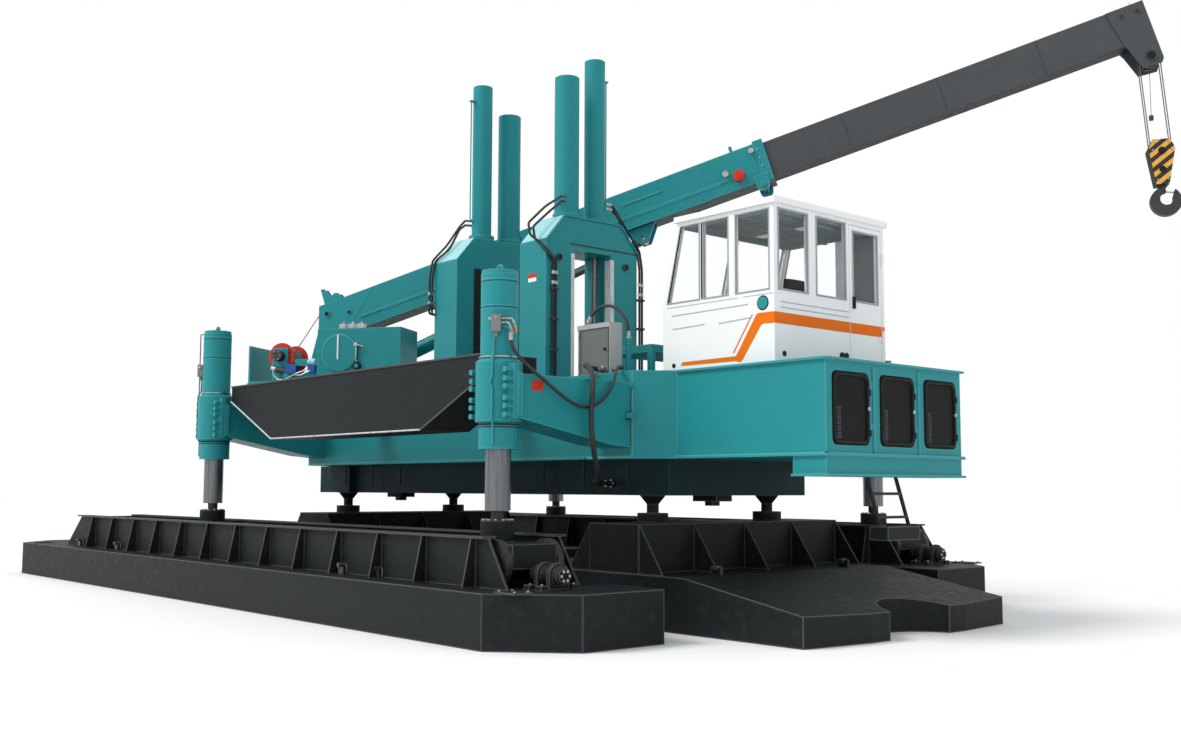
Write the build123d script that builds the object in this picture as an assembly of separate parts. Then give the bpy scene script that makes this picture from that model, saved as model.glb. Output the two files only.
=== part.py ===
from build123d import *
import os
from math import cos, sin, radians, tan, hypot, atan2, degrees

# A static pile driver on walking pontoons, at real size in millimetres.
# Modelled with x = 0 midway between the jacks, +X to the cab end, +Y to the far side, z = 0 on the
# ground. At the end every piece is shifted so that the origin is under the middle of the whole.

# Jacks: four, at the corners of a rectangle.
JACK_X = 3530.0
JACK_Y = 3330.0
JACK_TOP_Z = 3856.0
JACK_BARREL_R = 203.0
JACK_CAP_R = 196.0
JACK_CAP_H = 40.0
SLEEVE_TOP_Z = 2945.0
SLEEVE_BOTTOM_Z = 2259.0
SLEEVE_R = 253.0
RING_BOTTOM_Z = 1973.0
RING_R = 217.0
JACK_ROD_R = 139.0
JACK_ROD_TOP_Z = 3150.0
JACK_NECK_R = 70.0
JACK_NECK_H = 100.0
ROD_CLEAR = 0.3
JACK_STROKE = 500.0
SEAT_GAP = 0.3
SLEEVE_CHAMFER = 40.0
EYE_R = 55.0
EYE_HOLE_R = 26.0
EYE_T = 24.0
FLANGE_HALF_X = 340.0
FLANGE_DEPTH = 60.0
FLANGE_END = 30.0
STUD_X = 300.0
STUD_R = 30.0
STUD_REACH = 160.0
STUD_Z = (SLEEVE_TOP_Z + SLEEVE_BOTTOM_Z) / 2 - 35.0
STUD_STEPS = (-240.0, -145.0, -61.0, 61.0, 145.0, 240.0)
VALVE_Z = 3305.0
VALVE_H = 175.0
VALVE_W = 95.0
VALVE_D = 75.0
PIPE_R = 19.0

# Long pontoons, one each side, pushed back to the rear end of their travel.
LONG_REAR_X = -10250.0
LONG_FRONT_X = 5150.0
LONG_H = 550.0
LONG_OUTER_Y = 4195.0
LONG_INNER_Y = 2440.0
LONG_CUT_X = 715.0
LONG_CUT_Y = 670.0
LONG_TRAVEL = 3200.0

# The rail box on a long pontoon: two webs with flanges and 13 ribs a side.
RAIL_SLOPE_REAR_X = -8364.0
RAIL_REAR_X = -7696.0
RAIL_FRONT_X = 4010.0
RAIL_SLOPE_FRONT_X = 4330.0
RAIL_TOP_Z = 1074.0
WEB_HALF_GAP = 463.0
WEB_T = 24.0
FLANGE_W = 170.0
FLANGE_T = 24.0
RIB_COUNT = 13
RIB_PITCH = 900.0
RIB_LAST_X = 3788.0
RIB_T = 16.0
RIB_FOOT = 164.0
RIB_HEAD = 60.0

# Travel trolleys under the jacks, inside the rail boxes.
TROLLEY_HALF_L = 640.0
TROLLEY_HALF_W = 290.0
TROLLEY_BOTTOM_Z = 740.0
TROLLEY_TOP_Z = 990.0
HOUSING_R = 182.0
HOUSING_TOP_Z = 1220.0
WHEEL_R = 240.0
WHEEL_W = 80.0
WHEEL_GAP = 5.0
WHEEL_X = 420.0
AXLE_R = 45.0
AXLE_CLEAR = 0.3
AXLE_Z = LONG_H + WHEEL_GAP + WHEEL_R

# Travel cylinders, low in the rail boxes.
TRAVEL_BARREL_R = 75.0
TRAVEL_ROD_R = 45.0
TRAVEL_Z = 640.0
TRAVEL_BARREL_REAR_X = -4250.0
TRAVEL_BARREL_L = 3700.0
TRAVEL_BORE_R = 58.0

# Anchor of the travel cylinder, on the deck between the webs at the front end.
ANCHOR_REAR_X = 4230.0
ANCHOR_FRONT_X = 4620.0
ANCHOR_R = 95.0
ANCHOR_Z = 690.0
STRAP_R = 130.0
STRAP_T = 46.0
STRAP_X = (4350.0, 4540.0)

# Main body with the clamp well.
BODY_HALF_L = 3790.0
BODY_HALF_W = 1621.0
BODY_BOTTOM_Z = 1903.0
BODY_TOP_Z = 2918.0
PRESS_X = -70.0
WELL_HALF_L = 760.0
WELL_HALF_W = 840.0

# Cross arms from the body to the jacks.
ARM_W = 516.0
ARM_TOP_Z = 2780.0
ARM_ROOT_Z = 2027.0
ARM_TIP_Z = 2319.0
HAUNCH_L = 330.0
HAUNCH_RISE = 27.0

# Underframe and its four ball supports.
UNDER_REAR_X = -4100.0
UNDER_FRONT_X = 4000.0
UNDER_HALF_W = 1225.0
UNDER_BEAM_L = 915.0
UNDER_STEP = 110.0
UNDER_BOTTOM_Z = 1480.0
BALL_Y = 1029.0
BALL_HOUSING_R = 184.0
BALL_HOUSING_H = 112.0
BALL_NECK_R = 72.0
BALL_TOP_R = 155.0
BALL_GAP = 0.3

# Short pontoons across the machine; rear one mirrored.
SHORT_Y = 130.0
SHORT_HALF_W = 1825.0
SHORT_INNER_X = 1000.0
SHORT_BREAK_X = 4690.0
SHORT_CORNER_X = 6320.0
SHORT_NOSE_X = 6430.0
SHORT_NOSE_HALF_W = 860.0
SHORT_H = 600.0
SHORT_NOSE_H = 300.0
NOTCH_R = 560.0
NOTCH_HALF_W = 720.0
NOTCH_X = 5990.0
SHORT_TRAVEL_NEAR = 480.0
SHORT_TRAVEL_FAR = 220.0
BOX_SETBACK = 35.0
BOX_HALF_L = SHORT_HALF_W - BOX_SETBACK
BOX_TOP_HALF_W = 420.0
BOX_FOOT = 380.0
BOX_TOP_Z = 1160.0
BOX_RIB_COUNT = 5

# Press frames: two portals across the machine, one each side of the clamp.
FRAME_DX = 1048.0
FRAME_HALF_T = 285.0
FRAME_HALF_W = 849.0
FRAME_OPEN_HALF_W = 346.0
FRAME_OPEN_TOP_Z = 4860.0
FRAME_SHOULDER_Z = 4950.0
FRAME_TOP_Z = 5328.0
FRAME_TOP_HALF_W = 526.0

# Press cylinders: a short wide and a tall narrow one on each frame, placed crosswise.
PRESS_REAR_X = -1030.0
PRESS_FRONT_X = 996.0
PRESS_Y = 263.0
WIDE_R = 175.0
WIDE_TOP_Z = 7380.0
TALL_R = 150.0
TALL_TOP_Z = 7740.0
PRESS_FLANGE_R = 195.0
PRESS_FLANGE_H = 60.0
PRESS_BORE_R = 100.0
PRESS_CAP_T = 60.0
PRESS_ROD_R = 47.0
PISTON_R = PRESS_BORE_R - ROD_CLEAR
PISTON_H = 80.0
PRESS_STROKE = 1600.0

# Clamp box that slides between the frames.
CLAMP_HALF_L = 700.0
CLAMP_HALF_W = 780.0
CLAMP_BOTTOM_Z = 1500.0
CLAMP_TOP_Z = 3150.0
CLAMP_BORE_R = 310.0
EAR_HALF_W = 325.0
EAR_BOTTOM_Z = 2300.0
EAR_TOP_Z = 2800.0

# Weight trays, one each side between the jacks.
TRAY_NEAR_Y = -3240.0
TRAY_DEPTH = 700.0
TRAY_HALF_L = 3190.0
TRAY_FLOOR_HALF_L = 1890.0
TRAY_TOP_Z = 3042.0
TRAY_KNEE_Z = 2823.0
TRAY_BOTTOM_Z = 2236.0
TRAY_T = 20.0
TRAY_HANGER_W = 240.0

# Front platform, a hollow house for the power pack, with three doors.
PLATFORM_L = 2482.0
PLATFORM_FRONT_X = BODY_HALF_L + PLATFORM_L
PLATFORM_HALF_W = 1236.0
PLATFORM_T = 50.0
GUSSET_L = 360.0
LEDGE_Z = 1929.0
LIP_Z = 1693.0
LIP_L = 437.0
DOOR_BOTTOM_Z = 2015.0
DOOR_TOP_Z = 2785.0
DOOR_HALF_W = 318.0
DOOR_PITCH = 818.0
DOOR_CORNER_R = 70.0
DOOR_T = 40.0
DOOR_GAP = 6.0
HINGE_R = 12.0
HINGE_H = 70.0
HINGE_LEAF = 60.0
HINGE_T = 6.0
HINGE_SHIFT = 3.0
HINGE_SHARES = (0.22, 0.78)
POWER_PACK = (1500.0, 1300.0, 700.0)

# Edge flanges round the bottom and top of the body and platform.
EDGE_OUT = 35.0
EDGE_T = 26.0
EDGE_END_X = 3000.0

# Shelf over the pipework between the front press frame and the cab.
SHELF_REAR_X = 2500.0
SHELF_FRONT_X = 3300.0
SHELF_HALF_W = 830.0
SHELF_BOTTOM_Z = 3235.0
SHELF_T = 95.0
SHELF_LEG = 70.0

# Hoses: half their thickness, and the points that each one bends round, from its first fitting.
JACK_HOSE_R = 19.0
JACK_HOSE = (
    (3800.0, -3385.0, 3205.0),
    (3800.0, -3385.0, 3075.0),
    (3828.0, -3295.0, 2945.0),
    (3855.0, -3125.0, 2812.0),
    (3866.0, -2930.0, 2688.0),
    (3868.0, -2740.0, 2570.0),
    (3866.0, -2560.0, 2478.0),
    (3862.0, -2390.0, 2446.0),
    (3860.0, -2230.0, 2482.0),
    (3862.0, -2090.0, 2578.0),
    (3852.0, -1985.0, 2698.0),
    (3800.0, -1890.0, 2825.0),
    (3690.0, -1765.0, 2930.0),
    (3580.0, -1620.0, 2978.0),
    (3480.0, -1470.0, 2992.0),
    (3345.0, -1350.0, 2990.0),
    (3180.0, -1350.0, 2990.0),
)
LOOP_HOSE_R = 20.0
LOOP_HOSE = (
    (2640.0, -1285.0, 3610.0),
    (2702.0, -1270.0, 3717.0),
    (2812.0, -1240.0, 3795.0),
    (2945.0, -1205.0, 3812.0),
    (3070.0, -1172.0, 3755.0),
    (3170.0, -1156.0, 3650.0),
    (3236.0, -1150.0, 3515.0),
    (3236.0, -1150.0, 3375.0),
)
LOOP_POST_R = 32.0
GLAND_R = 30.0
DROP_HOSE_R = 30.0
DROP_HOSE = (
    (3060.0, -1400.0, 2990.0),
    (3060.0, -1570.0, 2990.0),
    (3160.0, -1760.0, 3000.0),
    (3325.0, -1930.0, 2992.0),
    (3535.0, -2075.0, 2962.0),
    (3745.0, -2200.0, 2895.0),
    (3888.0, -2290.0, 2752.0),
    (3915.0, -2335.0, 2560.0),
    (3918.0, -2350.0, 2360.0),
    (3903.0, -2328.0, 2165.0),
    (3862.0, -2265.0, 1985.0),
    (3775.0, -2145.0, 1835.0),
    (3620.0, -1975.0, 1728.0),
    (3430.0, -1815.0, 1668.0),
    (3220.0, -1670.0, 1636.0),
    (3040.0, -1510.0, 1624.0),
    (2930.0, -1310.0, 1620.0),
    (2930.0, -1115.0, 1620.0),
)

# Switch cabinet.
CABINET_X = 2590.0
CABINET_L = 590.0
CABINET_Y = -1400.0
CABINET_D = 180.0
CABINET_H = 642.0

# Cab.
CAB_SETBACK = 100.0
CAB_L = 1727.0
CAB_REAR_X = BODY_HALF_L - CAB_SETBACK
CAB_FRONT_X = CAB_REAR_X + CAB_L
CAB_HALF_W = 1008.0
CAB_SILL_Z = 3714.0
CAB_EAVE_Z = 4700.0
CAB_LEAN = 250.0
CAB_T = 50.0
ROOF_T = 70.0
ROOF_OVER = 35.0
GLASS_T = 6.0
CAB_DOOR_Y0 = 330.0
CAB_DOOR_Y1 = 950.0
CAB_DOOR_BOTTOM_Z = 3010.0
CAB_DOOR_TOP_Z = 4650.0

# Crane: everything in its own frame, s along the boom and n to its left, then turned.
CRANE_X = -3530.0
CRANE_AZ = 34.0
PEDESTAL_R = 560.0
DECK_BOTTOM_Z = 3200.0
PEDESTAL_TOP_Z = DECK_BOTTOM_Z - SEAT_GAP
DECK_TOP_Z = 3330.0
DECK_REAR_S = -2720.0
DECK_FRONT_S = 700.0
DECK_HALF_W = 420.0
PIVOT_S = -1351.0
PIVOT_Z = 4503.0
PIVOT_R = 60.0
LUG_HALF_W = 150.0
BOOM_TILT = 17.4
BOOM_W = 450.0
BOOM_H = 620.0
BOOM_T = 14.0
BOOM_DROP = 443.0
FOOT_S = 152.0
BASE_START = 560.0
BASE_END = 7830.0
COLLAR_L = 160.0
COLLAR_T = 28.0
RIDGE_UP = 181.0
RIDGE_H = 34.0
RIDGE_T = 14.0
RIDGE_END = 690.0
LOBE_BACK = 190.0
LOBE_DROP = 57.0
LOBE_R = 105.0
LOBE_T = 45.0
LOBE_PIN_R = 45.0
TOP_LUG_BACK = 545.0
TOP_LUG_L = 50.0
TOP_LUG_H = 150.0
TOP_LUG_HALF_N = 32.0
REAR_PLATE_T = 20.0
REAR_SHEAVE = (150.0, 108.0)
REAR_SHEAVE_R = 78.0
REAR_EAR_N = 60.0
EXT_H = 560.0
EXT_W = 390.0
EXT_T = 12.0
HEAD_T = 25.0
HEAD_CLEAR = 10.0
EXT_START = 6450.0
EXT_END = 13440.0
EXT_TRAVEL = 5300.0
SHEAVE_R = 135.0
SHEAVE_N = 70.0
SHEAVE_PIN_R = 40.0
FALL_R = 8.0
FALL_LENGTH = 1318.0
FALL_ENTRY = 90.0
HOOK_LEAN = 110.0
HOOK_BLOCK_H = 670.0
HOOK_BLOCK_HALF_N = 140.0
HOOK_R = 215.0
HOOK_MOUTH_R = 90.0
HOOK_HALF_T = 55.0
HOOK_DROP = 235.0
HOOK_SHANK_R = 55.0
LUFF_FOOT_S = -700.0
LUFF_FOOT_Z = 3480.0
LUFF_EYE = 5560.0
LUFF_EYE_DROP = 190.0
LUFF_EYE_R = 70.0
LUFF_BARREL_R = 125.0
LUFF_BARREL_L = 3350.0
LUFF_BORE_R = 98.0
LUFF_ROD_R = 70.0
LUFF_OVERLAP = 1400.0
TANK_S0 = -1050.0
TANK_S1 = 400.0
TANK_N0 = -1130.0
TANK_N1 = -440.0
TANK_TOP_Z = 4120.0
COVER_S = 400.0
COVER_T = 18.0
COVER_R = 270.0
DRUM_S = -2170.0
DRUM_Z = 3790.0
DRUM_R = 150.0
DRUM_FLANGE_R = 235.0
DRUM_HALF_L = 260.0
WINCH_HALF_W = 390.0
WINCH_BASE_S = 380.0
WINCH_BASE_T = 30.0
WINCH_RISE = 140.0
MOTOR_R = 95.0
MOTOR_L = 130.0


def block(x0, x1, y0, y1, z0, z1):
    """A box between two corners."""
    middle = ((x0 + x1) / 2, (y0 + y1) / 2, (z0 + z1) / 2)
    return Pos(*middle) * Box(abs(x1 - x0), abs(y1 - y0), abs(z1 - z0))


def post(x, y, z0, z1, r):
    """An upright round bar."""
    return Pos(x, y, (z0 + z1) / 2) * Cylinder(r, z1 - z0)


def bar_x(x0, x1, y, z, r):
    """A round bar along X."""
    return Pos((x0 + x1) / 2, y, z) * Rot(0, 90, 0) * Cylinder(r, x1 - x0)


def bar_y(x, y0, y1, z, r):
    """A round bar along Y."""
    return Pos(x, (y0 + y1) / 2, z) * Rot(90, 0, 0) * Cylinder(r, y1 - y0)


def plan(points, z0, z1):
    """An outline in X and Y, raised from z0 to z1."""
    face = make_face(Polyline(*points, close=True))
    return Pos(0, 0, z0) * extrude(face, amount=z1 - z0, dir=(0, 0, 1))


def side(points, y0, y1):
    """An outline in X and Z, drawn out from y0 to y1."""
    upright = Plane(origin=(0, y0, 0), x_dir=(1, 0, 0), z_dir=(0, -1, 0))
    face = upright * make_face(Polyline(*points, close=True))
    return extrude(face, amount=y1 - y0, dir=(0, 1, 0))


def front(points, x0, x1):
    """An outline in Y and Z, drawn out from x0 to x1."""
    upright = Plane(origin=(x0, 0, 0), x_dir=(0, 1, 0), z_dir=(1, 0, 0))
    face = upright * make_face(Polyline(*points, close=True))
    return extrude(face, amount=x1 - x0, dir=(1, 0, 0))


def rod_between(a, b, r):
    """A round bar from point a to point b."""
    line = Vector(*b) - Vector(*a)
    place = Plane(origin=Vector(*a), z_dir=line)
    return place * Pos(0, 0, line.length / 2) * Cylinder(r, line.length)


# Long pontoons

def long_hull(way):
    """Closed hull of a long pontoon; way is -1 near and +1 far. Outer corners are cut."""
    outer = way * LONG_OUTER_Y
    cut = way * (LONG_OUTER_Y - LONG_CUT_Y)
    inner = way * LONG_INNER_Y
    points = [
        (LONG_REAR_X + LONG_CUT_X, outer),
        (LONG_FRONT_X - LONG_CUT_X, outer),
        (LONG_FRONT_X, cut),
        (LONG_FRONT_X, inner),
        (LONG_REAR_X, inner),
        (LONG_REAR_X, cut),
    ]
    return plan(points, 0, LONG_H)


def rail_box(way):
    """Two webs with flanges, ribs outside each web, and a tie plate at the rear end."""
    web = [
        (RAIL_SLOPE_REAR_X, LONG_H),
        (RAIL_REAR_X, RAIL_TOP_Z - FLANGE_T),
        (RAIL_FRONT_X, RAIL_TOP_Z - FLANGE_T),
        (RAIL_SLOPE_FRONT_X, LONG_H),
    ]
    solid = None
    for out in (-1, 1):
        y = way * JACK_Y + out * WEB_HALF_GAP
        piece = side(web, y - WEB_T / 2, y + WEB_T / 2)
        piece += block(
            RAIL_REAR_X, RAIL_FRONT_X, y - FLANGE_W / 2, y + FLANGE_W / 2, RAIL_TOP_Z - FLANGE_T, RAIL_TOP_Z
        )
        for number in range(RIB_COUNT):
            x = RIB_LAST_X - number * RIB_PITCH
            root = y + out * WEB_T / 2
            rib = [
                (root, LONG_H),
                (root + out * RIB_FOOT, LONG_H),
                (root + out * RIB_HEAD, RAIL_TOP_Z - FLANGE_T),
                (root, RAIL_TOP_Z - FLANGE_T),
            ]
            piece += front(rib, x - RIB_T / 2, x + RIB_T / 2)
        solid = piece if solid is None else solid + piece
    inner = WEB_HALF_GAP - WEB_T / 2
    middle = way * JACK_Y
    solid += block(RAIL_REAR_X, RAIL_REAR_X + WEB_T, middle - inner, middle + inner, LONG_H, RAIL_TOP_Z - FLANGE_T)
    return solid


def trolley(x, y):
    """Trolley frame with the round housing of the jack's ball on top; axle holes run across it."""
    frame = block(
        x - TROLLEY_HALF_L, x + TROLLEY_HALF_L, y - TROLLEY_HALF_W, y + TROLLEY_HALF_W, TROLLEY_BOTTOM_Z, TROLLEY_TOP_Z
    )
    frame += post(x, y, TROLLEY_TOP_Z, HOUSING_TOP_Z, HOUSING_R)
    for end in (-1, 1):
        frame -= bar_y(x + end * WHEEL_X, y - JACK_Y, y + JACK_Y, AXLE_Z, AXLE_R + AXLE_CLEAR)
    return frame


def wheel_axle(x, y):
    """Two flat wheels on one axle, either side of the trolley frame."""
    near = TROLLEY_HALF_W + WHEEL_GAP
    reach = near + WHEEL_W
    piece = bar_y(x, y - reach, y + reach, AXLE_Z, AXLE_R)
    for out in (-1, 1):
        low, high = sorted((y + out * near, y + out * reach))
        piece += bar_y(x, low, high, AXLE_Z, WHEEL_R)
    return piece


def jack_rod(x, y):
    """Jack rod with a thinner neck that stands on the ball housing."""
    neck_top = HOUSING_TOP_Z + JACK_NECK_H
    rod = post(x, y, neck_top, JACK_ROD_TOP_Z, JACK_ROD_R)
    return rod + post(x, y, HOUSING_TOP_Z, neck_top, JACK_NECK_R)


def jack_barrel(x, y):
    """Jack barrel: cap with its eye, tube, bolted sleeve, gland ring below and a valve, bored for the rod."""
    way = 1 if y > 0 else -1
    end = 1 if x > 0 else -1
    cap_top = JACK_TOP_Z + JACK_CAP_H
    chamfer_z = SLEEVE_TOP_Z - SLEEVE_CHAMFER
    piece = post(x, y, chamfer_z, JACK_TOP_Z, JACK_BARREL_R)
    piece += post(x, y, JACK_TOP_Z, cap_top, JACK_CAP_R)
    piece += Pos(x, y, (chamfer_z + SLEEVE_TOP_Z) / 2) * Cone(SLEEVE_R, JACK_BARREL_R, SLEEVE_CHAMFER)
    piece += post(x, y, SLEEVE_BOTTOM_Z, chamfer_z, SLEEVE_R)
    piece += post(x, y, RING_BOTTOM_Z, SLEEVE_BOTTOM_Z, RING_R)
    piece += lifting_eye(x, y, cap_top)
    face = y
    low, high = sorted((face, face + way * FLANGE_DEPTH))
    piece += block(
        x - FLANGE_HALF_X, x + FLANGE_HALF_X, low, high, SLEEVE_BOTTOM_Z + FLANGE_END, chamfer_z - FLANGE_END
    )
    low, high = sorted((face, face + way * STUD_REACH))
    for step in STUD_STEPS:
        for out in (-1, 1):
            piece += bar_y(x + out * STUD_X, low, high, STUD_Z + step, STUD_R)
    reach = JACK_BARREL_R + VALVE_D / 2
    turn = degrees(atan2(way, end))
    valve = Box(2 * VALVE_D, VALVE_W, VALVE_H)
    piece += Pos(x, y, VALVE_Z) * Rot(0, 0, turn) * Pos(reach - VALVE_D / 2, 0, 0) * valve
    bore_top = JACK_ROD_TOP_Z + JACK_STROKE + JACK_CAP_H
    piece -= post(x, y, RING_BOTTOM_Z, bore_top, JACK_ROD_R + ROD_CLEAR)
    return piece


def lifting_eye(x, y, z):
    """Upright eye plate on top of a jack, along X."""
    eye = bar_y(x, y - EYE_T / 2, y + EYE_T / 2, z + EYE_HOLE_R, EYE_R)
    eye -= bar_y(x, y - EYE_T, y + EYE_T, z + EYE_HOLE_R, EYE_HOLE_R)
    return eye & block(x - EYE_R, x + EYE_R, y - EYE_T, y + EYE_T, z - EYE_T / 2, z + 2 * EYE_R)


def jack_hose_fitting():
    """Bent steel pipe from the near front jack's valve out to its hose, pointing down."""
    end = Vector(*JACK_HOSE[0])
    elbow = end + Vector(0, 0, 2.5 * PIPE_R)
    root = Vector(JACK_X + 0.7 * JACK_BARREL_R, -JACK_Y - 0.7 * JACK_BARREL_R, VALVE_Z)
    pipe = rod_between(tuple(root), tuple(elbow), PIPE_R)
    pipe += Pos(elbow) * Sphere(PIPE_R)
    return pipe + rod_between(tuple(elbow), tuple(end), PIPE_R)


def travel_anchor(way):
    """Round anchor of the travel cylinder under two straps, standing on the deck between the webs."""
    y = way * JACK_Y
    piece = bar_x(ANCHOR_REAR_X, ANCHOR_FRONT_X, y, ANCHOR_Z, ANCHOR_R)
    for x in STRAP_X:
        piece += bar_x(x - STRAP_T / 2, x + STRAP_T / 2, y, ANCHOR_Z, STRAP_R)
        piece += block(x - STRAP_T / 2, x + STRAP_T / 2, y - STRAP_R, y + STRAP_R, LONG_H, ANCHOR_Z)
    return piece


def travel_barrel(way):
    """Barrel of the travel cylinder, lying on saddles on the pontoon deck and open to the front."""
    y = way * JACK_Y
    front_x = TRAVEL_BARREL_REAR_X + TRAVEL_BARREL_L
    piece = bar_x(TRAVEL_BARREL_REAR_X, front_x, y, TRAVEL_Z, TRAVEL_BARREL_R)
    for share in (0.05, 0.5, 0.95):
        x = TRAVEL_BARREL_REAR_X + share * TRAVEL_BARREL_L
        piece += block(x - 40, x + 40, y - TRAVEL_BARREL_R, y + TRAVEL_BARREL_R, LONG_H, TRAVEL_Z)
    piece -= bar_x(TRAVEL_BARREL_REAR_X + TRAVEL_ROD_R, front_x, y, TRAVEL_Z, TRAVEL_BORE_R)
    return piece


def travel_rod(way):
    """Rod of the travel cylinder with its piston, held in a plate under the front trolley."""
    y = way * JACK_Y
    front_x = TRAVEL_BARREL_REAR_X + TRAVEL_BARREL_L
    start = front_x - 2 * TRAVEL_BORE_R
    plate_x = JACK_X - TROLLEY_HALF_L / 4
    piece = bar_x(start, plate_x, y, TRAVEL_Z, TRAVEL_ROD_R)
    piece += bar_x(start, start + TRAVEL_BORE_R, y, TRAVEL_Z, TRAVEL_BORE_R - ROD_CLEAR)
    low = TRAVEL_Z - TRAVEL_BARREL_R
    piece += block(plate_x, plate_x + 50, y - TRAVEL_BARREL_R, y + TRAVEL_BARREL_R, low, TROLLEY_BOTTOM_Z)
    return piece


# Body, arms and underframe

def main_body():
    """Deep plated body with the clamp well and the slots of the clamp's ears through it."""
    body = block(-BODY_HALF_L, BODY_HALF_L, -BODY_HALF_W, BODY_HALF_W, BODY_BOTTOM_Z, BODY_TOP_Z)
    body -= clamp_well(BODY_BOTTOM_Z, BODY_TOP_Z)
    wide = BODY_HALF_W + EDGE_OUT
    for low, high in ((-wide, -BODY_HALF_W), (BODY_HALF_W, wide)):
        body += block(-EDGE_END_X, EDGE_END_X, low, high, BODY_BOTTOM_Z, BODY_BOTTOM_Z + EDGE_T)
    shelf_top = SHELF_BOTTOM_Z + SHELF_T
    body += block(SHELF_REAR_X, SHELF_FRONT_X, -SHELF_HALF_W, SHELF_HALF_W, SHELF_BOTTOM_Z, shelf_top)
    for x0 in (SHELF_REAR_X, SHELF_FRONT_X - SHELF_LEG):
        for y0 in (-SHELF_HALF_W, SHELF_HALF_W - SHELF_LEG):
            body += block(x0, x0 + SHELF_LEG, y0, y0 + SHELF_LEG, BODY_TOP_Z, SHELF_BOTTOM_Z)
    x, y, z = LOOP_HOSE[-1]
    return body + post(x, y, BODY_TOP_Z, z, LOOP_POST_R)


def clamp_well(z0, z1):
    """The space cut for the clamp box and its ears."""
    well = block(PRESS_X - WELL_HALF_L, PRESS_X + WELL_HALF_L, -WELL_HALF_W, WELL_HALF_W, z0, z1)
    ear = FRAME_DX + FRAME_HALF_T
    well += block(PRESS_X - ear, PRESS_X + ear, -FRAME_OPEN_HALF_W, FRAME_OPEN_HALF_W, z0, z1)
    return well


def cross_arm(x, way):
    """Haunched box arm from the body to a jack, hollowed round the jack's sleeve."""
    tip = way * JACK_Y
    root = way * BODY_HALF_W
    outline = [
        (root, ARM_ROOT_Z),
        (root + way * HAUNCH_L, ARM_ROOT_Z + HAUNCH_RISE),
        (tip, ARM_TIP_Z),
        (tip, ARM_TOP_Z),
        (root, ARM_TOP_Z),
    ]
    arm = front(outline, x - ARM_W / 2, x + ARM_W / 2)
    low, high = sorted((tip, tip - way * FLANGE_DEPTH))
    arm += block(x - FLANGE_HALF_X, x + FLANGE_HALF_X, low, high, ARM_TIP_Z, ARM_TOP_Z)
    return arm - post(x, tip, 0, JACK_TOP_Z, SLEEVE_R + SEAT_GAP)


def underframe():
    """Low frame under the body: two end beams over the ball supports and a narrower middle with the well."""
    middle = UNDER_HALF_W - UNDER_STEP
    frame = block(UNDER_REAR_X, UNDER_FRONT_X, -middle, middle, UNDER_BOTTOM_Z, BODY_BOTTOM_Z)
    for x0, x1 in ((UNDER_REAR_X, UNDER_REAR_X + UNDER_BEAM_L), (UNDER_FRONT_X - UNDER_BEAM_L, UNDER_FRONT_X)):
        frame += block(x0, x1, -UNDER_HALF_W, UNDER_HALF_W, UNDER_BOTTOM_Z, BODY_BOTTOM_Z)
    return frame - clamp_well(UNDER_BOTTOM_Z, BODY_BOTTOM_Z)


def ball_support(x, y):
    """Cone, neck and round housing of a ball support, seated under the underframe."""
    housing_z = BOX_TOP_Z + BALL_GAP
    neck_z = housing_z + BALL_HOUSING_H
    middle_z = (neck_z + UNDER_BOTTOM_Z) / 2
    piece = post(x, y, housing_z, neck_z, BALL_HOUSING_R)
    piece += post(x, y, neck_z, UNDER_BOTTOM_Z, BALL_NECK_R)
    cone_h = UNDER_BOTTOM_Z - middle_z
    piece += Pos(x, y, middle_z + cone_h / 2) * Cone(BALL_NECK_R, BALL_TOP_R, cone_h)
    return piece


# Short pontoons

def short_hull(way):
    """Short pontoon: deck, ramp down to the nose and the round notch in it; way is +1 at the front."""
    profile = [
        (way * SHORT_INNER_X, 0),
        (way * SHORT_NOSE_X, 0),
        (way * SHORT_NOSE_X, SHORT_NOSE_H),
        (way * SHORT_BREAK_X, SHORT_H),
        (way * SHORT_INNER_X, SHORT_H),
    ]
    y0 = SHORT_Y - SHORT_HALF_W
    y1 = SHORT_Y + SHORT_HALF_W
    hull = side(profile, y0, y1)
    for out, edge in ((-1, y0), (1, y1)):
        corner = [
            (way * SHORT_CORNER_X, edge),
            (way * SHORT_NOSE_X, SHORT_Y + out * SHORT_NOSE_HALF_W),
            (way * (SHORT_NOSE_X + LONG_CUT_X), SHORT_Y + out * SHORT_NOSE_HALF_W),
            (way * (SHORT_NOSE_X + LONG_CUT_X), edge + out * LONG_CUT_X),
            (way * SHORT_CORNER_X, edge + out * LONG_CUT_X),
        ]
        hull -= plan(corner, -SHORT_H, 2 * SHORT_H)
    notch_x = way * (NOTCH_X + NOTCH_R)
    hull -= post(notch_x, SHORT_Y, -SHORT_H, 2 * SHORT_H, NOTCH_R)
    return hull


def short_box(way):
    """Rail box across the short pontoon, with ribs on its long sides."""
    x = way * JACK_X
    half = BOX_TOP_HALF_W
    box = block(x - half, x + half, SHORT_Y - BOX_HALF_L, SHORT_Y + BOX_HALF_L, SHORT_H, BOX_TOP_Z)
    step = 2 * (BOX_HALF_L - RIB_T) / (BOX_RIB_COUNT - 1)
    for number in range(BOX_RIB_COUNT):
        y = SHORT_Y - BOX_HALF_L + RIB_T + number * step
        for out in (-1, 1):
            rib = [
                (x + out * half, SHORT_H),
                (x + out * (half + BOX_FOOT), SHORT_H),
                (x + out * half, BOX_TOP_Z),
            ]
            box += side(rib, y - RIB_T / 2, y + RIB_T / 2)
    return box


# Press frames, cylinders and clamp

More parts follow.
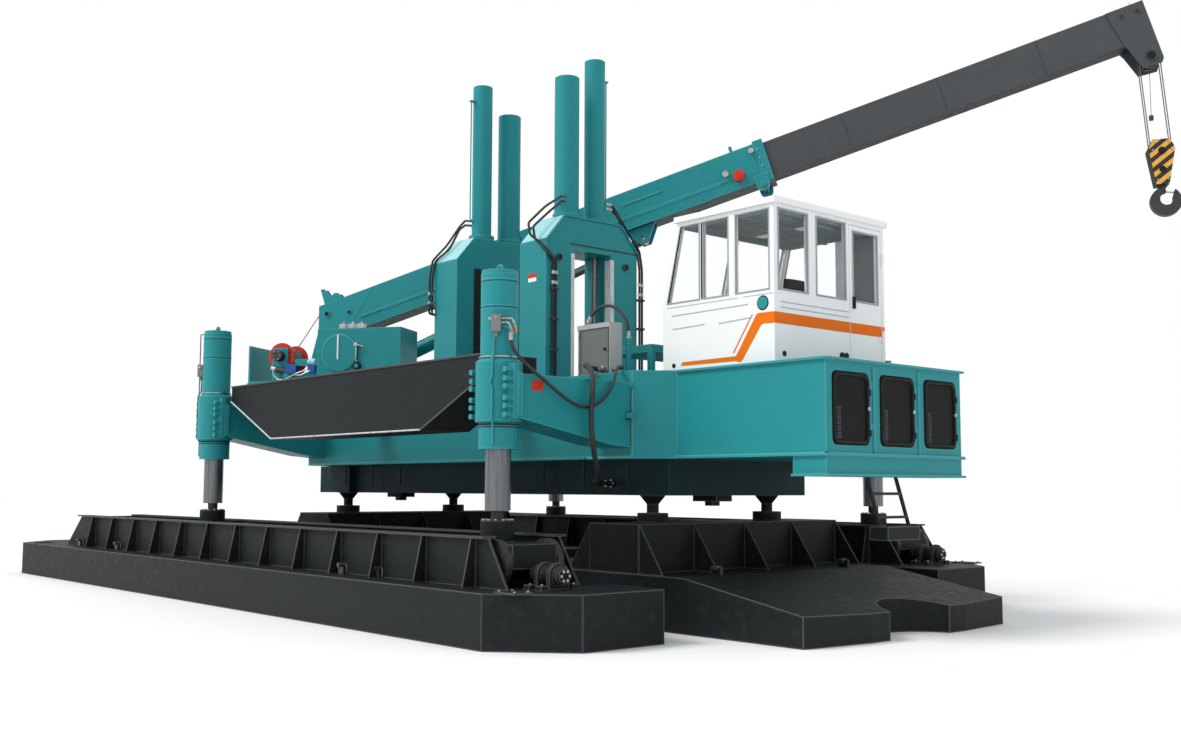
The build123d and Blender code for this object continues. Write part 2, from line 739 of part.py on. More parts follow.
def press_frame(x, rod_x):
    """Portal of two columns and a crosshead with sloping shoulders, holes for the two rods."""
    outline = [
        (-FRAME_HALF_W, BODY_TOP_Z),
        (-FRAME_HALF_W, FRAME_SHOULDER_Z),
        (-FRAME_TOP_HALF_W, FRAME_TOP_Z),
        (FRAME_TOP_HALF_W, FRAME_TOP_Z),
        (FRAME_HALF_W, FRAME_SHOULDER_Z),
        (FRAME_HALF_W, BODY_TOP_Z),
    ]
    portal = front(outline, x - FRAME_HALF_T, x + FRAME_HALF_T)
    wide = 2 * FRAME_HALF_T
    portal -= block(x - wide, x + wide, -FRAME_OPEN_HALF_W, FRAME_OPEN_HALF_W, BODY_TOP_Z, FRAME_OPEN_TOP_Z)
    for out in (-1, 1):
        portal -= post(rod_x, out * PRESS_Y, BODY_TOP_Z, FRAME_TOP_Z, PRESS_ROD_R + ROD_CLEAR)
    return portal


def press_cylinder(x, y, r, top_z):
    """Press cylinder on the crosshead, closed at the top, bored for the piston."""
    piece = post(x, y, FRAME_TOP_Z, top_z, r)
    piece += post(x, y, FRAME_TOP_Z, FRAME_TOP_Z + PRESS_FLANGE_H, PRESS_FLANGE_R)
    return piece - post(x, y, FRAME_TOP_Z, top_z - PRESS_CAP_T, PRESS_BORE_R)


def press_places():
    """Where the four cylinders stand: x, y, radius, top."""
    return [
        (PRESS_REAR_X, -PRESS_Y, TALL_R, TALL_TOP_Z),
        (PRESS_REAR_X, PRESS_Y, WIDE_R, WIDE_TOP_Z),
        (PRESS_FRONT_X, -PRESS_Y, WIDE_R, WIDE_TOP_Z),
        (PRESS_FRONT_X, PRESS_Y, TALL_R, TALL_TOP_Z),
    ]


def clamp_rod(x, y):
    """Piston rod from the clamp's ear up into its cylinder."""
    top_z = FRAME_TOP_Z + PRESS_FLANGE_H
    rod = post(x, y, EAR_TOP_Z, top_z + PISTON_H, PRESS_ROD_R)
    return rod + post(x, y, top_z, top_z + PISTON_H, PISTON_R)


def clamp_box():
    """Clamp box with the round pile passage and an ear at each end for the rods."""
    box = block(
        PRESS_X - CLAMP_HALF_L, PRESS_X + CLAMP_HALF_L, -CLAMP_HALF_W, CLAMP_HALF_W, CLAMP_BOTTOM_Z, CLAMP_TOP_Z
    )
    rear_x = PRESS_REAR_X - 2 * PRESS_ROD_R
    front_x = PRESS_FRONT_X + 2 * PRESS_ROD_R
    box += block(rear_x, front_x, -EAR_HALF_W, EAR_HALF_W, EAR_BOTTOM_Z, EAR_TOP_Z)
    return box - post(PRESS_X, 0, CLAMP_BOTTOM_Z, CLAMP_TOP_Z, CLAMP_BORE_R)


def weight_tray(way):
    """Open tray between the jacks with slanted ends, hung from the arms and the body by hangers."""
    outer = way * abs(TRAY_NEAR_Y)
    inner = way * (abs(TRAY_NEAR_Y) - TRAY_DEPTH)
    outline = [
        (-TRAY_HALF_L, TRAY_TOP_Z),
        (-TRAY_HALF_L, TRAY_KNEE_Z),
        (-TRAY_FLOOR_HALF_L, TRAY_BOTTOM_Z),
        (TRAY_FLOOR_HALF_L, TRAY_BOTTOM_Z),
        (TRAY_HALF_L, TRAY_KNEE_Z),
        (TRAY_HALF_L, TRAY_TOP_Z),
    ]
    inside = [
        (-TRAY_HALF_L + TRAY_T, TRAY_TOP_Z),
        (-TRAY_HALF_L + TRAY_T, TRAY_KNEE_Z + TRAY_T),
        (-TRAY_FLOOR_HALF_L, TRAY_BOTTOM_Z + TRAY_T),
        (TRAY_FLOOR_HALF_L, TRAY_BOTTOM_Z + TRAY_T),
        (TRAY_HALF_L - TRAY_T, TRAY_KNEE_Z + TRAY_T),
        (TRAY_HALF_L - TRAY_T, TRAY_TOP_Z),
    ]
    low, high = sorted((outer, inner))
    tray = side(outline, low, high)
    tray -= side(inside, low + TRAY_T, high - TRAY_T)
    low, high = sorted((inner, way * BODY_HALF_W))
    for x in (-TRAY_FLOOR_HALF_L + TRAY_HANGER_W, TRAY_FLOOR_HALF_L - TRAY_HANGER_W):
        tray += block(x - TRAY_HANGER_W / 2, x + TRAY_HANGER_W / 2, low, high, TRAY_KNEE_Z - TRAY_HANGER_W, TRAY_KNEE_Z)
    return tray


# Platform

def platform():
    """Hollow platform house at the front of the body with three door openings and a deep lip."""
    outline = [
        (BODY_HALF_L, -BODY_HALF_W),
        (BODY_HALF_L + GUSSET_L, -PLATFORM_HALF_W),
        (PLATFORM_FRONT_X, -PLATFORM_HALF_W),
        (PLATFORM_FRONT_X, PLATFORM_HALF_W),
        (BODY_HALF_L + GUSSET_L, PLATFORM_HALF_W),
        (BODY_HALF_L, BODY_HALF_W),
    ]
    house = plan(outline, BODY_BOTTOM_Z, BODY_TOP_Z)
    house += block(
        PLATFORM_FRONT_X - LIP_L, PLATFORM_FRONT_X, -PLATFORM_HALF_W, PLATFORM_HALF_W, LIP_Z, BODY_BOTTOM_Z
    )
    start_x = BODY_HALF_L + GUSSET_L
    for z0, back in ((BODY_BOTTOM_Z, start_x), (BODY_TOP_Z - EDGE_T, start_x), (LIP_Z, PLATFORM_FRONT_X - LIP_L)):
        wide = PLATFORM_HALF_W + EDGE_OUT
        house += block(back, PLATFORM_FRONT_X + EDGE_OUT, -wide, wide, z0, z0 + EDGE_T)
    house -= block(
        BODY_HALF_L + PLATFORM_T,
        PLATFORM_FRONT_X - PLATFORM_T,
        -PLATFORM_HALF_W + PLATFORM_T,
        PLATFORM_HALF_W - PLATFORM_T,
        BODY_BOTTOM_Z + PLATFORM_T,
        BODY_TOP_Z - PLATFORM_T,
    )
    for number in (-1, 0, 1):
        y = number * DOOR_PITCH
        house -= door_leaf(y, 0)
        house += hinge_halves(PLATFORM_FRONT_X, y + DOOR_HALF_W - DOOR_GAP, DOOR_BOTTOM_Z, DOOR_TOP_Z, 1)
    return house


def platform_door(y):
    """Door leaf with its halves of the two hinges."""
    leaf = door_leaf(y, DOOR_GAP)
    return leaf + hinge_halves(PLATFORM_FRONT_X, y + DOOR_HALF_W - DOOR_GAP, DOOR_BOTTOM_Z, DOOR_TOP_Z, -1)


def hinge_halves(face_x, edge_y, z0, z1, way):
    """Knuckles and straps of two hinges; way is +1 for the wall's upper halves and -1 for the door's."""
    axis_x = face_x + HINGE_R
    axis_y = edge_y + HINGE_SHIFT
    halves = None
    for share in HINGE_SHARES:
        z = z0 + share * (z1 - z0) + way * SEAT_GAP / 2
        low, high = sorted((z, z + way * HINGE_H))
        half = post(axis_x, axis_y, low, high, HINGE_R)
        strap_y0, strap_y1 = sorted((axis_y, axis_y + way * HINGE_LEAF))
        half += block(face_x, face_x + HINGE_T, strap_y0, strap_y1, low, high)
        halves = half if halves is None else halves + half
    return halves


def door_leaf(y, gap):
    """A door with round corners in the platform's end wall; the gap runs all round it."""
    half = DOOR_HALF_W - gap
    height = DOOR_TOP_Z - DOOR_BOTTOM_Z - 2 * gap
    leaf = Box(PLATFORM_T, 2 * half, height)
    leaf = fillet(leaf.edges().filter_by(Axis.X), DOOR_CORNER_R)
    x = PLATFORM_FRONT_X - PLATFORM_T / 2
    return Pos(x, y, (DOOR_BOTTOM_Z + DOOR_TOP_Z) / 2) * leaf


# Cab

def cab_outline(inset):
    """Side outline of the cab walls, leaning above the sill at the rear."""
    return [
        (CAB_REAR_X + inset, BODY_TOP_Z + inset),
        (CAB_FRONT_X - inset, BODY_TOP_Z + inset),
        (CAB_FRONT_X - inset, CAB_EAVE_Z),
        (CAB_REAR_X + CAB_LEAN + inset, CAB_EAVE_Z),
        (CAB_REAR_X + inset, CAB_SILL_Z),
    ]


# Windows in the long sides, from the cab's rear: rear edge at the sill, rear edge at the head, front edge.
SIDE_WINDOWS = (
    (70.0, 295.0, 600.0),
    (660.0, 660.0, 1050.0),
    (1160.0, 1160.0, 1655.0),
)
# Windows in the front end wall: from y, to y.
END_WINDOWS = (
    (-940.0, -430.0),
    (-275.0, 260.0),
)
# Windows in the leaning rear wall: from y, to y.
REAR_WINDOWS = (
    (-930.0, -40.0),
    (40.0, 930.0),
)
WINDOW_BOTTOM_Z = CAB_SILL_Z + 36.0
WINDOW_TOP_Z = CAB_EAVE_Z - 50.0


def side_window(row, y0, y1, inset):
    """One pane or opening in a long side."""
    low_x, high_x, front_x = (CAB_REAR_X + reach for reach in row)
    outline = [
        (low_x + inset, WINDOW_BOTTOM_Z + inset),
        (front_x - inset, WINDOW_BOTTOM_Z + inset),
        (front_x - inset, WINDOW_TOP_Z - inset),
        (high_x + inset, WINDOW_TOP_Z - inset),
    ]
    return side(outline, y0, y1)


def rear_wall_x(z):
    """Outer face of the leaning rear wall at a height."""
    return CAB_REAR_X + CAB_LEAN * (z - CAB_SILL_Z) / (CAB_EAVE_Z - CAB_SILL_Z)


def rear_pane(y0, y1, depth, thick):
    """A pane or opening that follows the leaning rear wall; depth is from the outer face."""
    low_x = rear_wall_x(WINDOW_BOTTOM_Z) + depth
    high_x = rear_wall_x(WINDOW_TOP_Z) + depth
    outline = [
        (low_x, WINDOW_BOTTOM_Z),
        (low_x + thick, WINDOW_BOTTOM_Z),
        (high_x + thick, WINDOW_TOP_Z),
        (high_x, WINDOW_TOP_Z),
    ]
    return side(outline, y0, y1)


def cab_shell():
    """Cab floor and walls in one welded piece with its window and door openings."""
    shell = side(cab_outline(0), -CAB_HALF_W, CAB_HALF_W)
    inside = cab_outline(CAB_T)
    shell -= side(inside, -CAB_HALF_W + CAB_T, CAB_HALF_W - CAB_T)
    for row in SIDE_WINDOWS:
        shell -= side_window(row, -CAB_HALF_W - CAB_T, CAB_HALF_W + CAB_T, 0)
    for y0, y1 in END_WINDOWS:
        shell -= block(CAB_FRONT_X - CAB_T, CAB_FRONT_X, y0, y1, WINDOW_BOTTOM_Z, WINDOW_TOP_Z)
    for y0, y1 in REAR_WINDOWS:
        shell -= rear_pane(y0, y1, -CAB_T, 3 * CAB_T)
    shell -= block(
        CAB_FRONT_X - CAB_T, CAB_FRONT_X, CAB_DOOR_Y0, CAB_DOOR_Y1, CAB_DOOR_BOTTOM_Z, CAB_DOOR_TOP_Z
    )
    return shell + hinge_halves(CAB_FRONT_X, CAB_DOOR_Y1 - DOOR_GAP, CAB_DOOR_BOTTOM_Z, CAB_DOOR_TOP_Z, 1)


def cab_glass():
    """The fixed panes, set in the middle of the walls."""
    panes = []
    middle = (CAB_T - GLASS_T) / 2
    for row in SIDE_WINDOWS:
        for way in (-1, 1):
            y0, y1 = sorted((way * (CAB_HALF_W - middle), way * (CAB_HALF_W - middle - GLASS_T)))
            panes.append(side_window(row, y0, y1, 0))
    x1 = CAB_FRONT_X - middle
    for y0, y1 in END_WINDOWS:
        panes.append(block(x1 - GLASS_T, x1, y0, y1, WINDOW_BOTTOM_Z, WINDOW_TOP_Z))
    for y0, y1 in REAR_WINDOWS:
        panes.append(rear_pane(y0, y1, middle, GLASS_T))
    return panes


def cab_roof():
    """Flat roof with a small overhang."""
    return block(
        CAB_REAR_X + CAB_LEAN - ROOF_OVER,
        CAB_FRONT_X + ROOF_OVER,
        -CAB_HALF_W - ROOF_OVER,
        CAB_HALF_W + ROOF_OVER,
        CAB_EAVE_Z,
        CAB_EAVE_Z + ROOF_T,
    )


def cab_door():
    """Door leaf in the end wall with its window cut and a handle."""
    leaf = block(
        CAB_FRONT_X - CAB_T,
        CAB_FRONT_X,
        CAB_DOOR_Y0 + DOOR_GAP,
        CAB_DOOR_Y1 - DOOR_GAP,
        CAB_DOOR_BOTTOM_Z + DOOR_GAP,
        CAB_DOOR_TOP_Z - DOOR_GAP,
    )
    rim = 70.0
    leaf -= block(
        CAB_FRONT_X - CAB_T,
        CAB_FRONT_X,
        CAB_DOOR_Y0 + rim,
        CAB_DOOR_Y1 - rim,
        WINDOW_BOTTOM_Z,
        CAB_DOOR_TOP_Z - rim,
    )
    return leaf + hinge_halves(CAB_FRONT_X, CAB_DOOR_Y1 - DOOR_GAP, CAB_DOOR_BOTTOM_Z, CAB_DOOR_TOP_Z, -1)


def cab_seat():
    """Operator's seat: pedestal, cushion and back, facing the clamp."""
    x = CAB_FRONT_X - 700
    floor = BODY_TOP_Z + CAB_T
    seat = post(x, 0, floor, floor + 350, 90)
    seat += block(x - 240, x + 240, -240, 240, floor + 350, floor + 470)
    seat += block(x + 140, x + 240, -230, 230, floor + 470, floor + 1050)
    return seat


def cab_console():
    """Control desk along the rear wall below the sill."""
    floor = BODY_TOP_Z + CAB_T
    x = CAB_REAR_X + CAB_T + 60
    desk = block(x, x + 320, -650, 650, floor, floor + 720)
    return desk


def ladder():
    """Ladder under the platform's end with two stringers, rungs and a step box."""
    x = 6040.0
    y0 = -250.0
    y1 = 280.0
    lean = 150.0
    bottom = 1150.0
    piece = None
    for y in (y0, y1):
        stringer = rod_between((x, y, LIP_Z), (x + 60, y + lean, bottom), 22)
        piece = stringer if piece is None else piece + stringer
    for share in (0.33, 0.8):
        z = LIP_Z + share * (bottom - LIP_Z)
        shift = share * lean
        piece += rod_between((x + 60 * share, y0 + shift, z), (x + 60 * share, y1 + shift, z), 16)
    piece += block(x - 60, x + 180, y0 + lean - 30, y1 + lean + 30, bottom - 140, bottom + 10)
    cut = block(x - 200, x + 300, y0 - 300, y1 + 300, LIP_Z, LIP_Z + 200)
    return piece - cut


def electric_cabinet():
    """Grey switch cabinet on the body beside the front press frame, with a slanted gland on top."""
    x1 = CABINET_X + CABINET_L
    cabinet = block(CABINET_X, x1, CABINET_Y, CABINET_Y + CABINET_D, BODY_TOP_Z, BODY_TOP_Z + CABINET_H)
    mouth = Vector(*LOOP_HOSE[0])
    along = (Vector(*LOOP_HOSE[1]) - mouth).normalized()
    root = mouth - along * 3 * GLAND_R
    return cabinet + rod_between(tuple(root), tuple(mouth), GLAND_R)


# Hoses

def hose(points, r):
    """A hose of straight runs joined by tangent arcs, each as large as its two runs allow."""
    corners = [Vector(*point) for point in points]
    radii = []
    for before, here, after in zip(corners, corners[1:], corners[2:]):
        into = here - before
        out = after - here
        half_turn = radians(into.get_angle(out)) / 2
        radii.append(0.45 * min(into.length, out.length) / tan(half_turn))
    path = FilletPolyline(*corners, radius=radii)
    face = Plane(origin=path @ 0, z_dir=path % 0) * Circle(r)
    tube = sweep(face, path=path)
    turns = " ".join(str(round(radius)) for radius in radii)
    print("hose", round(path.length), "volume share", round(tube.volume / (3.141593 * r * r * path.length), 4), "radii", turns)
    return tube


# Crane, in its own frame

def crane_place(piece):
    """Turn a crane piece to its azimuth and set it on its slewing axis."""
    return Pos(CRANE_X, 0, 0) * Rot(0, 0, CRANE_AZ) * piece


def on_boom(piece):
    """From the boom's own axes, pivot at the origin and x along it, to the crane frame."""
    return Pos(PIVOT_S, 0, PIVOT_Z) * Rot(0, -BOOM_TILT, 0) * piece


def boom_point(along, up):
    """Crane-frame s and z of a point given along and above the pivot in boom axes."""
    tilt = radians(BOOM_TILT)
    s = PIVOT_S + along * cos(tilt) - up * sin(tilt)
    z = PIVOT_Z + along * sin(tilt) + up * cos(tilt)
    return s, z


BOOM_LOW = -BOOM_DROP
BOOM_HIGH = BOOM_H - BOOM_DROP
EYE_S, EYE_Z = boom_point(LUFF_EYE, BOOM_LOW - LUFF_EYE_DROP)
LUFF_ANGLE = degrees(atan2(EYE_Z - LUFF_FOOT_Z, EYE_S - LUFF_FOOT_S))
LUFF_LENGTH = hypot(EYE_Z - LUFF_FOOT_Z, EYE_S - LUFF_FOOT_S)


def pedestal():
    """Fixed crane post on the body with a wider foot flange."""
    piece = post(0, 0, BODY_TOP_Z, PEDESTAL_TOP_Z, PEDESTAL_R)
    return piece + post(0, 0, BODY_TOP_Z, BODY_TOP_Z + 50, PEDESTAL_R + 90)


def turret():
    """Slewing deck with the middle mast that carries the boom, and ears for the luffing cylinder."""
    deck = block(DECK_REAR_S, DECK_FRONT_S, -DECK_HALF_W, DECK_HALF_W, DECK_BOTTOM_Z, DECK_TOP_Z)
    deck += block(TANK_S0, TANK_S1, TANK_N0, -DECK_HALF_W, DECK_BOTTOM_Z + 40, DECK_TOP_Z)
    mast = [
        (PIVOT_S - 420, DECK_TOP_Z),
        (PIVOT_S + 420, DECK_TOP_Z),
        (PIVOT_S + PIVOT_R * 2, PIVOT_Z),
        (PIVOT_S + PIVOT_R, PIVOT_Z + 2 * PIVOT_R),
        (PIVOT_S - PIVOT_R, PIVOT_Z + 2 * PIVOT_R),
        (PIVOT_S - PIVOT_R * 2, PIVOT_Z),
    ]
    deck += side(mast, -LUG_HALF_W, LUG_HALF_W)
    deck -= bar_y(PIVOT_S, -LUG_HALF_W, LUG_HALF_W, PIVOT_Z, PIVOT_R + AXLE_CLEAR)
    ear = [
        (LUFF_FOOT_S - 150, DECK_TOP_Z),
        (LUFF_FOOT_S + 150, DECK_TOP_Z),
        (LUFF_FOOT_S + 70, LUFF_FOOT_Z + 70),
        (LUFF_FOOT_S - 70, LUFF_FOOT_Z + 70),
    ]
    for out in (-1, 1):
        low, high = sorted((out * (LUFF_BARREL_R + 10), out * (LUFF_BARREL_R + 50)))
        deck += side(ear, low, high)
    deck += bar_y(LUFF_FOOT_S, -LUFF_BARREL_R - 50, LUFF_BARREL_R + 50, LUFF_FOOT_Z, 35)
    return deck + winch_frame()


def foot_along(up):
    """How far behind the pivot the boom's foot ends at a height, so that its end stands plumb."""
    tilt = radians(BOOM_TILT)
    return (up * sin(tilt) - FOOT_S) / cos(tilt)


def boom_base():
    """Hollow base section with a fork foot, the pivot pin, a collar and the eye plates below."""
    half = BOOM_W / 2
    tube = block(BASE_START, BASE_END, -half, half, BOOM_LOW, BOOM_HIGH)
    tube -= block(
        BASE_START + BOOM_T,
        BASE_END - COLLAR_L,
        -half + BOOM_T,
        half - BOOM_T,
        BOOM_LOW + BOOM_T,
        BOOM_HIGH - BOOM_T,
    )
    slip = EXT_W / 2 + SEAT_GAP
    rise = (BOOM_H - EXT_H) / 2 - SEAT_GAP
    tube -= block(BASE_END - COLLAR_L, BASE_END, -slip, slip, BOOM_LOW + rise, BOOM_HIGH - rise)
    foot = [
        (foot_along(BOOM_LOW + 180), BOOM_LOW + 180),
        (BASE_START, BOOM_LOW),
        (BASE_START, BOOM_HIGH),
        (foot_along(BOOM_HIGH), BOOM_HIGH),
    ]
    cheek = LUG_HALF_W + WHEEL_GAP
    for out in (-1, 1):
        low, high = sorted((out * cheek, out * half))
        tube += side(foot, low, high)
    tube += bar_y(0, -half - 20, half + 20, 0, PIVOT_R)
    collar_half = half + COLLAR_T
    low, high = BOOM_LOW - COLLAR_T, BOOM_HIGH + COLLAR_T
    collar = block(BASE_END - COLLAR_L, BASE_END, -collar_half, collar_half, low, high)
    collar -= block(BASE_END - COLLAR_L, BASE_END, -half, half, BOOM_LOW, BOOM_HIGH)
    tube += collar
    ridge_z = BOOM_LOW + RIDGE_UP
    lobe_x = BASE_END - LOBE_BACK
    for out in (-1, 1):
        low, high = sorted((out * half, out * (half + RIDGE_T)))
        tube += block(BASE_START, BASE_END - RIDGE_END, low, high, ridge_z, ridge_z + RIDGE_H)
        low, high = sorted((out * (half - BOOM_T), out * (half + LOBE_T)))
        tube += bar_y(lobe_x, low, high, BOOM_LOW - LOBE_DROP, LOBE_R)
        tube += block(lobe_x - LOBE_R, BASE_END - COLLAR_L / 2, low, high, BOOM_LOW - LOBE_DROP, BOOM_LOW + LOBE_R)
    pin = half + LOBE_T + LOBE_PIN_R / 2
    tube += bar_y(lobe_x, -pin, pin, BOOM_LOW - LOBE_DROP, LOBE_PIN_R)
    lug_x = BASE_END - TOP_LUG_BACK
    tube += block(lug_x, lug_x + TOP_LUG_L, -TOP_LUG_HALF_N, TOP_LUG_HALF_N, BOOM_HIGH - BOOM_T, BOOM_HIGH + TOP_LUG_H)
    tube += rear_bracket()
    eye = [
        (LUFF_EYE - 260, BOOM_LOW),
        (LUFF_EYE + 260, BOOM_LOW),
        (LUFF_EYE + 70, BOOM_LOW - LUFF_EYE_DROP - 70),
        (LUFF_EYE - 70, BOOM_LOW - LUFF_EYE_DROP - 70),
    ]
    for out in (-1, 1):
        low, high = sorted((out * (LUFF_ROD_R + 25), out * (LUFF_ROD_R + 60)))
        plate = side(eye, low, high)
        tube += plate - bar_y(LUFF_EYE, -half, half, BOOM_LOW - LUFF_EYE_DROP, 36)
    return on_boom(tube)


def rear_bracket():
    """Plate across the boom's foot with two ears and the small sheave that guides the hoist rope."""
    half = BOOM_W / 2
    piece = block(foot_along(BOOM_HIGH), BASE_START, -half, half, BOOM_HIGH - REAR_PLATE_T, BOOM_HIGH)
    along, rise = REAR_SHEAVE
    up = BOOM_HIGH + rise
    ear = [
        (along - 210, BOOM_HIGH),
        (along - 210, up + 210),
        (along - 140, up + 190),
        (along - 90, up + 40),
        (along + 90, up + 40),
        (along + 140, BOOM_HIGH),
    ]
    for out in (-1, 1):
        low, high = sorted((out * REAR_EAR_N, out * (REAR_EAR_N + REAR_PLATE_T)))
        piece += side(ear, low, high)
    piece += bar_y(along, -REAR_EAR_N, REAR_EAR_N, up, PIPE_R)
    return piece + bar_y(along, -REAR_EAR_N / 2, REAR_EAR_N / 2, up, REAR_SHEAVE_R)


HEAD_PIN = (EXT_END + 75, BOOM_LOW - 245)
EXT_LOW = BOOM_LOW + (BOOM_H - EXT_H) / 2
EXT_HIGH = EXT_LOW + EXT_H


def boom_extension():
    """Hollow inner section of the boom."""
    half = EXT_W / 2
    tube = block(EXT_START, EXT_END, -half, half, EXT_LOW, EXT_HIGH)
    tube -= block(EXT_START, EXT_END, -half + EXT_T, half - EXT_T, EXT_LOW + EXT_T, EXT_HIGH - EXT_T)
    return on_boom(tube)


def boom_head():
    """Two head plates welded outside the inner section, with the sheave pin between them."""
    half = EXT_W / 2
    low, high = EXT_LOW, EXT_HIGH
    along, up = HEAD_PIN
    head = [
        (BASE_END + EXT_TRAVEL + HEAD_CLEAR, high),
        (EXT_END - 211, low),
        (EXT_END - 181, low - 64),
        (along - 160, up - 129),
        (along + 109, up - 150),
        (along + 152, up - 87),
        (along + 165, high),
    ]
    piece = bar_y(along, -half - HEAD_T, half + HEAD_T, up, SHEAVE_PIN_R)
    for out in (-1, 1):
        a, b = sorted((out * half, out * (half + HEAD_T)))
        piece += side(head, a, b)
    return on_boom(piece)


def head_point():
    """Crane-frame s and z of the head sheave pin."""
    return boom_point(*HEAD_PIN)


def head_sheaves():
    """Two grooved sheaves on the head pin."""
    along, up = HEAD_PIN
    piece = []
    for out in (-1, 1):
        disc = bar_y(along, out * SHEAVE_N - 25, out * SHEAVE_N + 25, up, SHEAVE_R)
        disc -= bar_y(along, out * SHEAVE_N - 25, out * SHEAVE_N + 25, up, SHEAVE_PIN_R + AXLE_CLEAR)
        piece.append(on_boom(disc))
    return piece


def luff_barrel():
    """Luffing barrel with its foot eye, along the line from foot to eye."""
    piece = bar_x(0, LUFF_BARREL_L, 0, 0, LUFF_BARREL_R)
    piece -= bar_x(LUFF_BARREL_R + 60, LUFF_BARREL_L, 0, 0, LUFF_BORE_R)
    piece -= bar_y(0, -LUFF_BARREL_R, LUFF_BARREL_R, 0, 36)
    return luff_place(piece)


def luff_rod():
    """Luffing rod with piston and bored eye, standing free between the boom's eye plates."""
    start = LUFF_BARREL_L - LUFF_OVERLAP
    piece = bar_x(start, LUFF_LENGTH - LUFF_EYE_R / 2, 0, 0, LUFF_ROD_R)
    piece += bar_x(start, start + 120, 0, 0, LUFF_BORE_R - ROD_CLEAR)
    piece += bar_y(LUFF_LENGTH, -LUFF_ROD_R, LUFF_ROD_R, 0, LUFF_EYE_R)
    piece -= bar_y(LUFF_LENGTH, -LUFF_ROD_R, LUFF_ROD_R, 0, 36)
    return luff_place(piece)


def luff_place(piece):
    """Set a piece drawn along x from the foot pin onto the cylinder's line."""
    return Pos(LUFF_FOOT_S, 0, LUFF_FOOT_Z) * Rot(0, -LUFF_ANGLE, 0) * piece


def crane_tank():
    """Oil tank on the near side of the turret with its round cover."""
    tank = block(TANK_S0, TANK_S1, TANK_N0, TANK_N1, DECK_TOP_Z, TANK_TOP_Z)
    s = TANK_S0 + COVER_S
    return tank + bar_y(s, TANK_N0 - COVER_T, TANK_N0, (DECK_TOP_Z + TANK_TOP_Z) / 2, COVER_R)


def winch_frame():
    """Two side plates for the drum and the plate at the tail."""
    half = WINCH_HALF_W
    base = block(DECK_REAR_S, DRUM_S + WINCH_BASE_S, -half, half, DECK_TOP_Z, DECK_TOP_Z + WINCH_BASE_T)
    top = DRUM_Z + WINCH_RISE
    base += block(DECK_REAR_S, DECK_REAR_S + WINCH_BASE_T, -half, half, DECK_TOP_Z, top + 40)
    for out in (-1, 1):
        low, high = sorted((out * (DRUM_HALF_L + 10), out * (DRUM_HALF_L + 50)))
        base += block(DRUM_S - WINCH_RISE, DRUM_S + WINCH_RISE, low, high, DECK_TOP_Z, top)
    base -= bar_y(DRUM_S, -DRUM_HALF_L - 60, DRUM_HALF_L + 60, DRUM_Z, 50 + AXLE_CLEAR)
    return base


def winch_drum():
    """Rope drum with two flanges and its shaft."""
    drum = bar_y(DRUM_S, -DRUM_HALF_L, DRUM_HALF_L, DRUM_Z, DRUM_R)
    for out in (-1, 1):
        low, high = sorted((out * DRUM_HALF_L, out * (DRUM_HALF_L - 25)))
        drum += bar_y(DRUM_S, low, high, DRUM_Z, DRUM_FLANGE_R)
    shaft = DRUM_HALF_L + 50 - WHEEL_GAP
    return drum + bar_y(DRUM_S, -shaft, shaft, DRUM_Z, 50)


def winch_motor():
    """Hydraulic motor bolted outside the near winch plate."""
    outer = -DRUM_HALF_L - 50 - SEAT_GAP
    return bar_y(DRUM_S, outer - MOTOR_L, outer, DRUM_Z, MOTOR_R)


def fall_lines():
    """Foot and head of the four rope falls; they hang a little out of plumb and end inside the block."""
    s, z = head_point()
    reach = (SHEAVE_R + FALL_R + SEAT_GAP) * hypot(HOOK_LEAN, FALL_LENGTH) / FALL_LENGTH
    lines = []
    for out in (-1, 1):
        for end in (-1, 1):
            head = (s + end * reach, out * SHEAVE_N, z)
            foot = (s + end * reach + HOOK_LEAN, out * SHEAVE_N, z - FALL_LENGTH)
            lines.append((foot, head))
    return lines


def hoist_falls():
    """Four straight rope falls from the head sheaves into the hook block."""
    return [rod_between(foot, head, FALL_R) for foot, head in fall_lines()]


def hook_block():
    """Closed hook block with eight-sided cheeks."""
    s, z = head_point()
    s += HOOK_LEAN
    top = z - FALL_LENGTH + FALL_ENTRY
    bottom = top - HOOK_BLOCK_H
    outline = [
        (s - 117, top),
        (s + 117, top),
        (s + 180, top - 140),
        (s + 88, bottom),
        (s - 88, bottom),
        (s - 180, top - 140),
    ]
    block_piece = side(outline, -HOOK_BLOCK_HALF_N, HOOK_BLOCK_HALF_N)
    for foot, head in fall_lines():
        block_piece -= rod_between(foot, head, FALL_R + SEAT_GAP)
    return block_piece


def hook_ring():
    """Crane-frame s and z of the middle of the hook's bow."""
    s, z = head_point()
    return s + HOOK_LEAN + 50, z - FALL_LENGTH + FALL_ENTRY - HOOK_BLOCK_H - HOOK_DROP


def load_hook():
    """Single hook on its shank below the block, open at the upper front."""
    s, z = hook_ring()
    bow = bar_y(s, -HOOK_HALF_T, HOOK_HALF_T, z, HOOK_R)
    bow -= bar_y(s + 8, -HOOK_HALF_T, HOOK_HALF_T, z + 35, HOOK_MOUTH_R)
    mouth = [
        (s + 8, z + 35),
        (s + 8 + HOOK_MOUTH_R, z + 60),
        (s + 150, z + HOOK_R + 40),
        (s - 10, z + HOOK_R + 40),
    ]
    bow -= side(mouth, -HOOK_HALF_T, HOOK_HALF_T)
    return bow + post(s - 50, 0, z + HOOK_R - 80, z + HOOK_DROP, HOOK_SHANK_R)


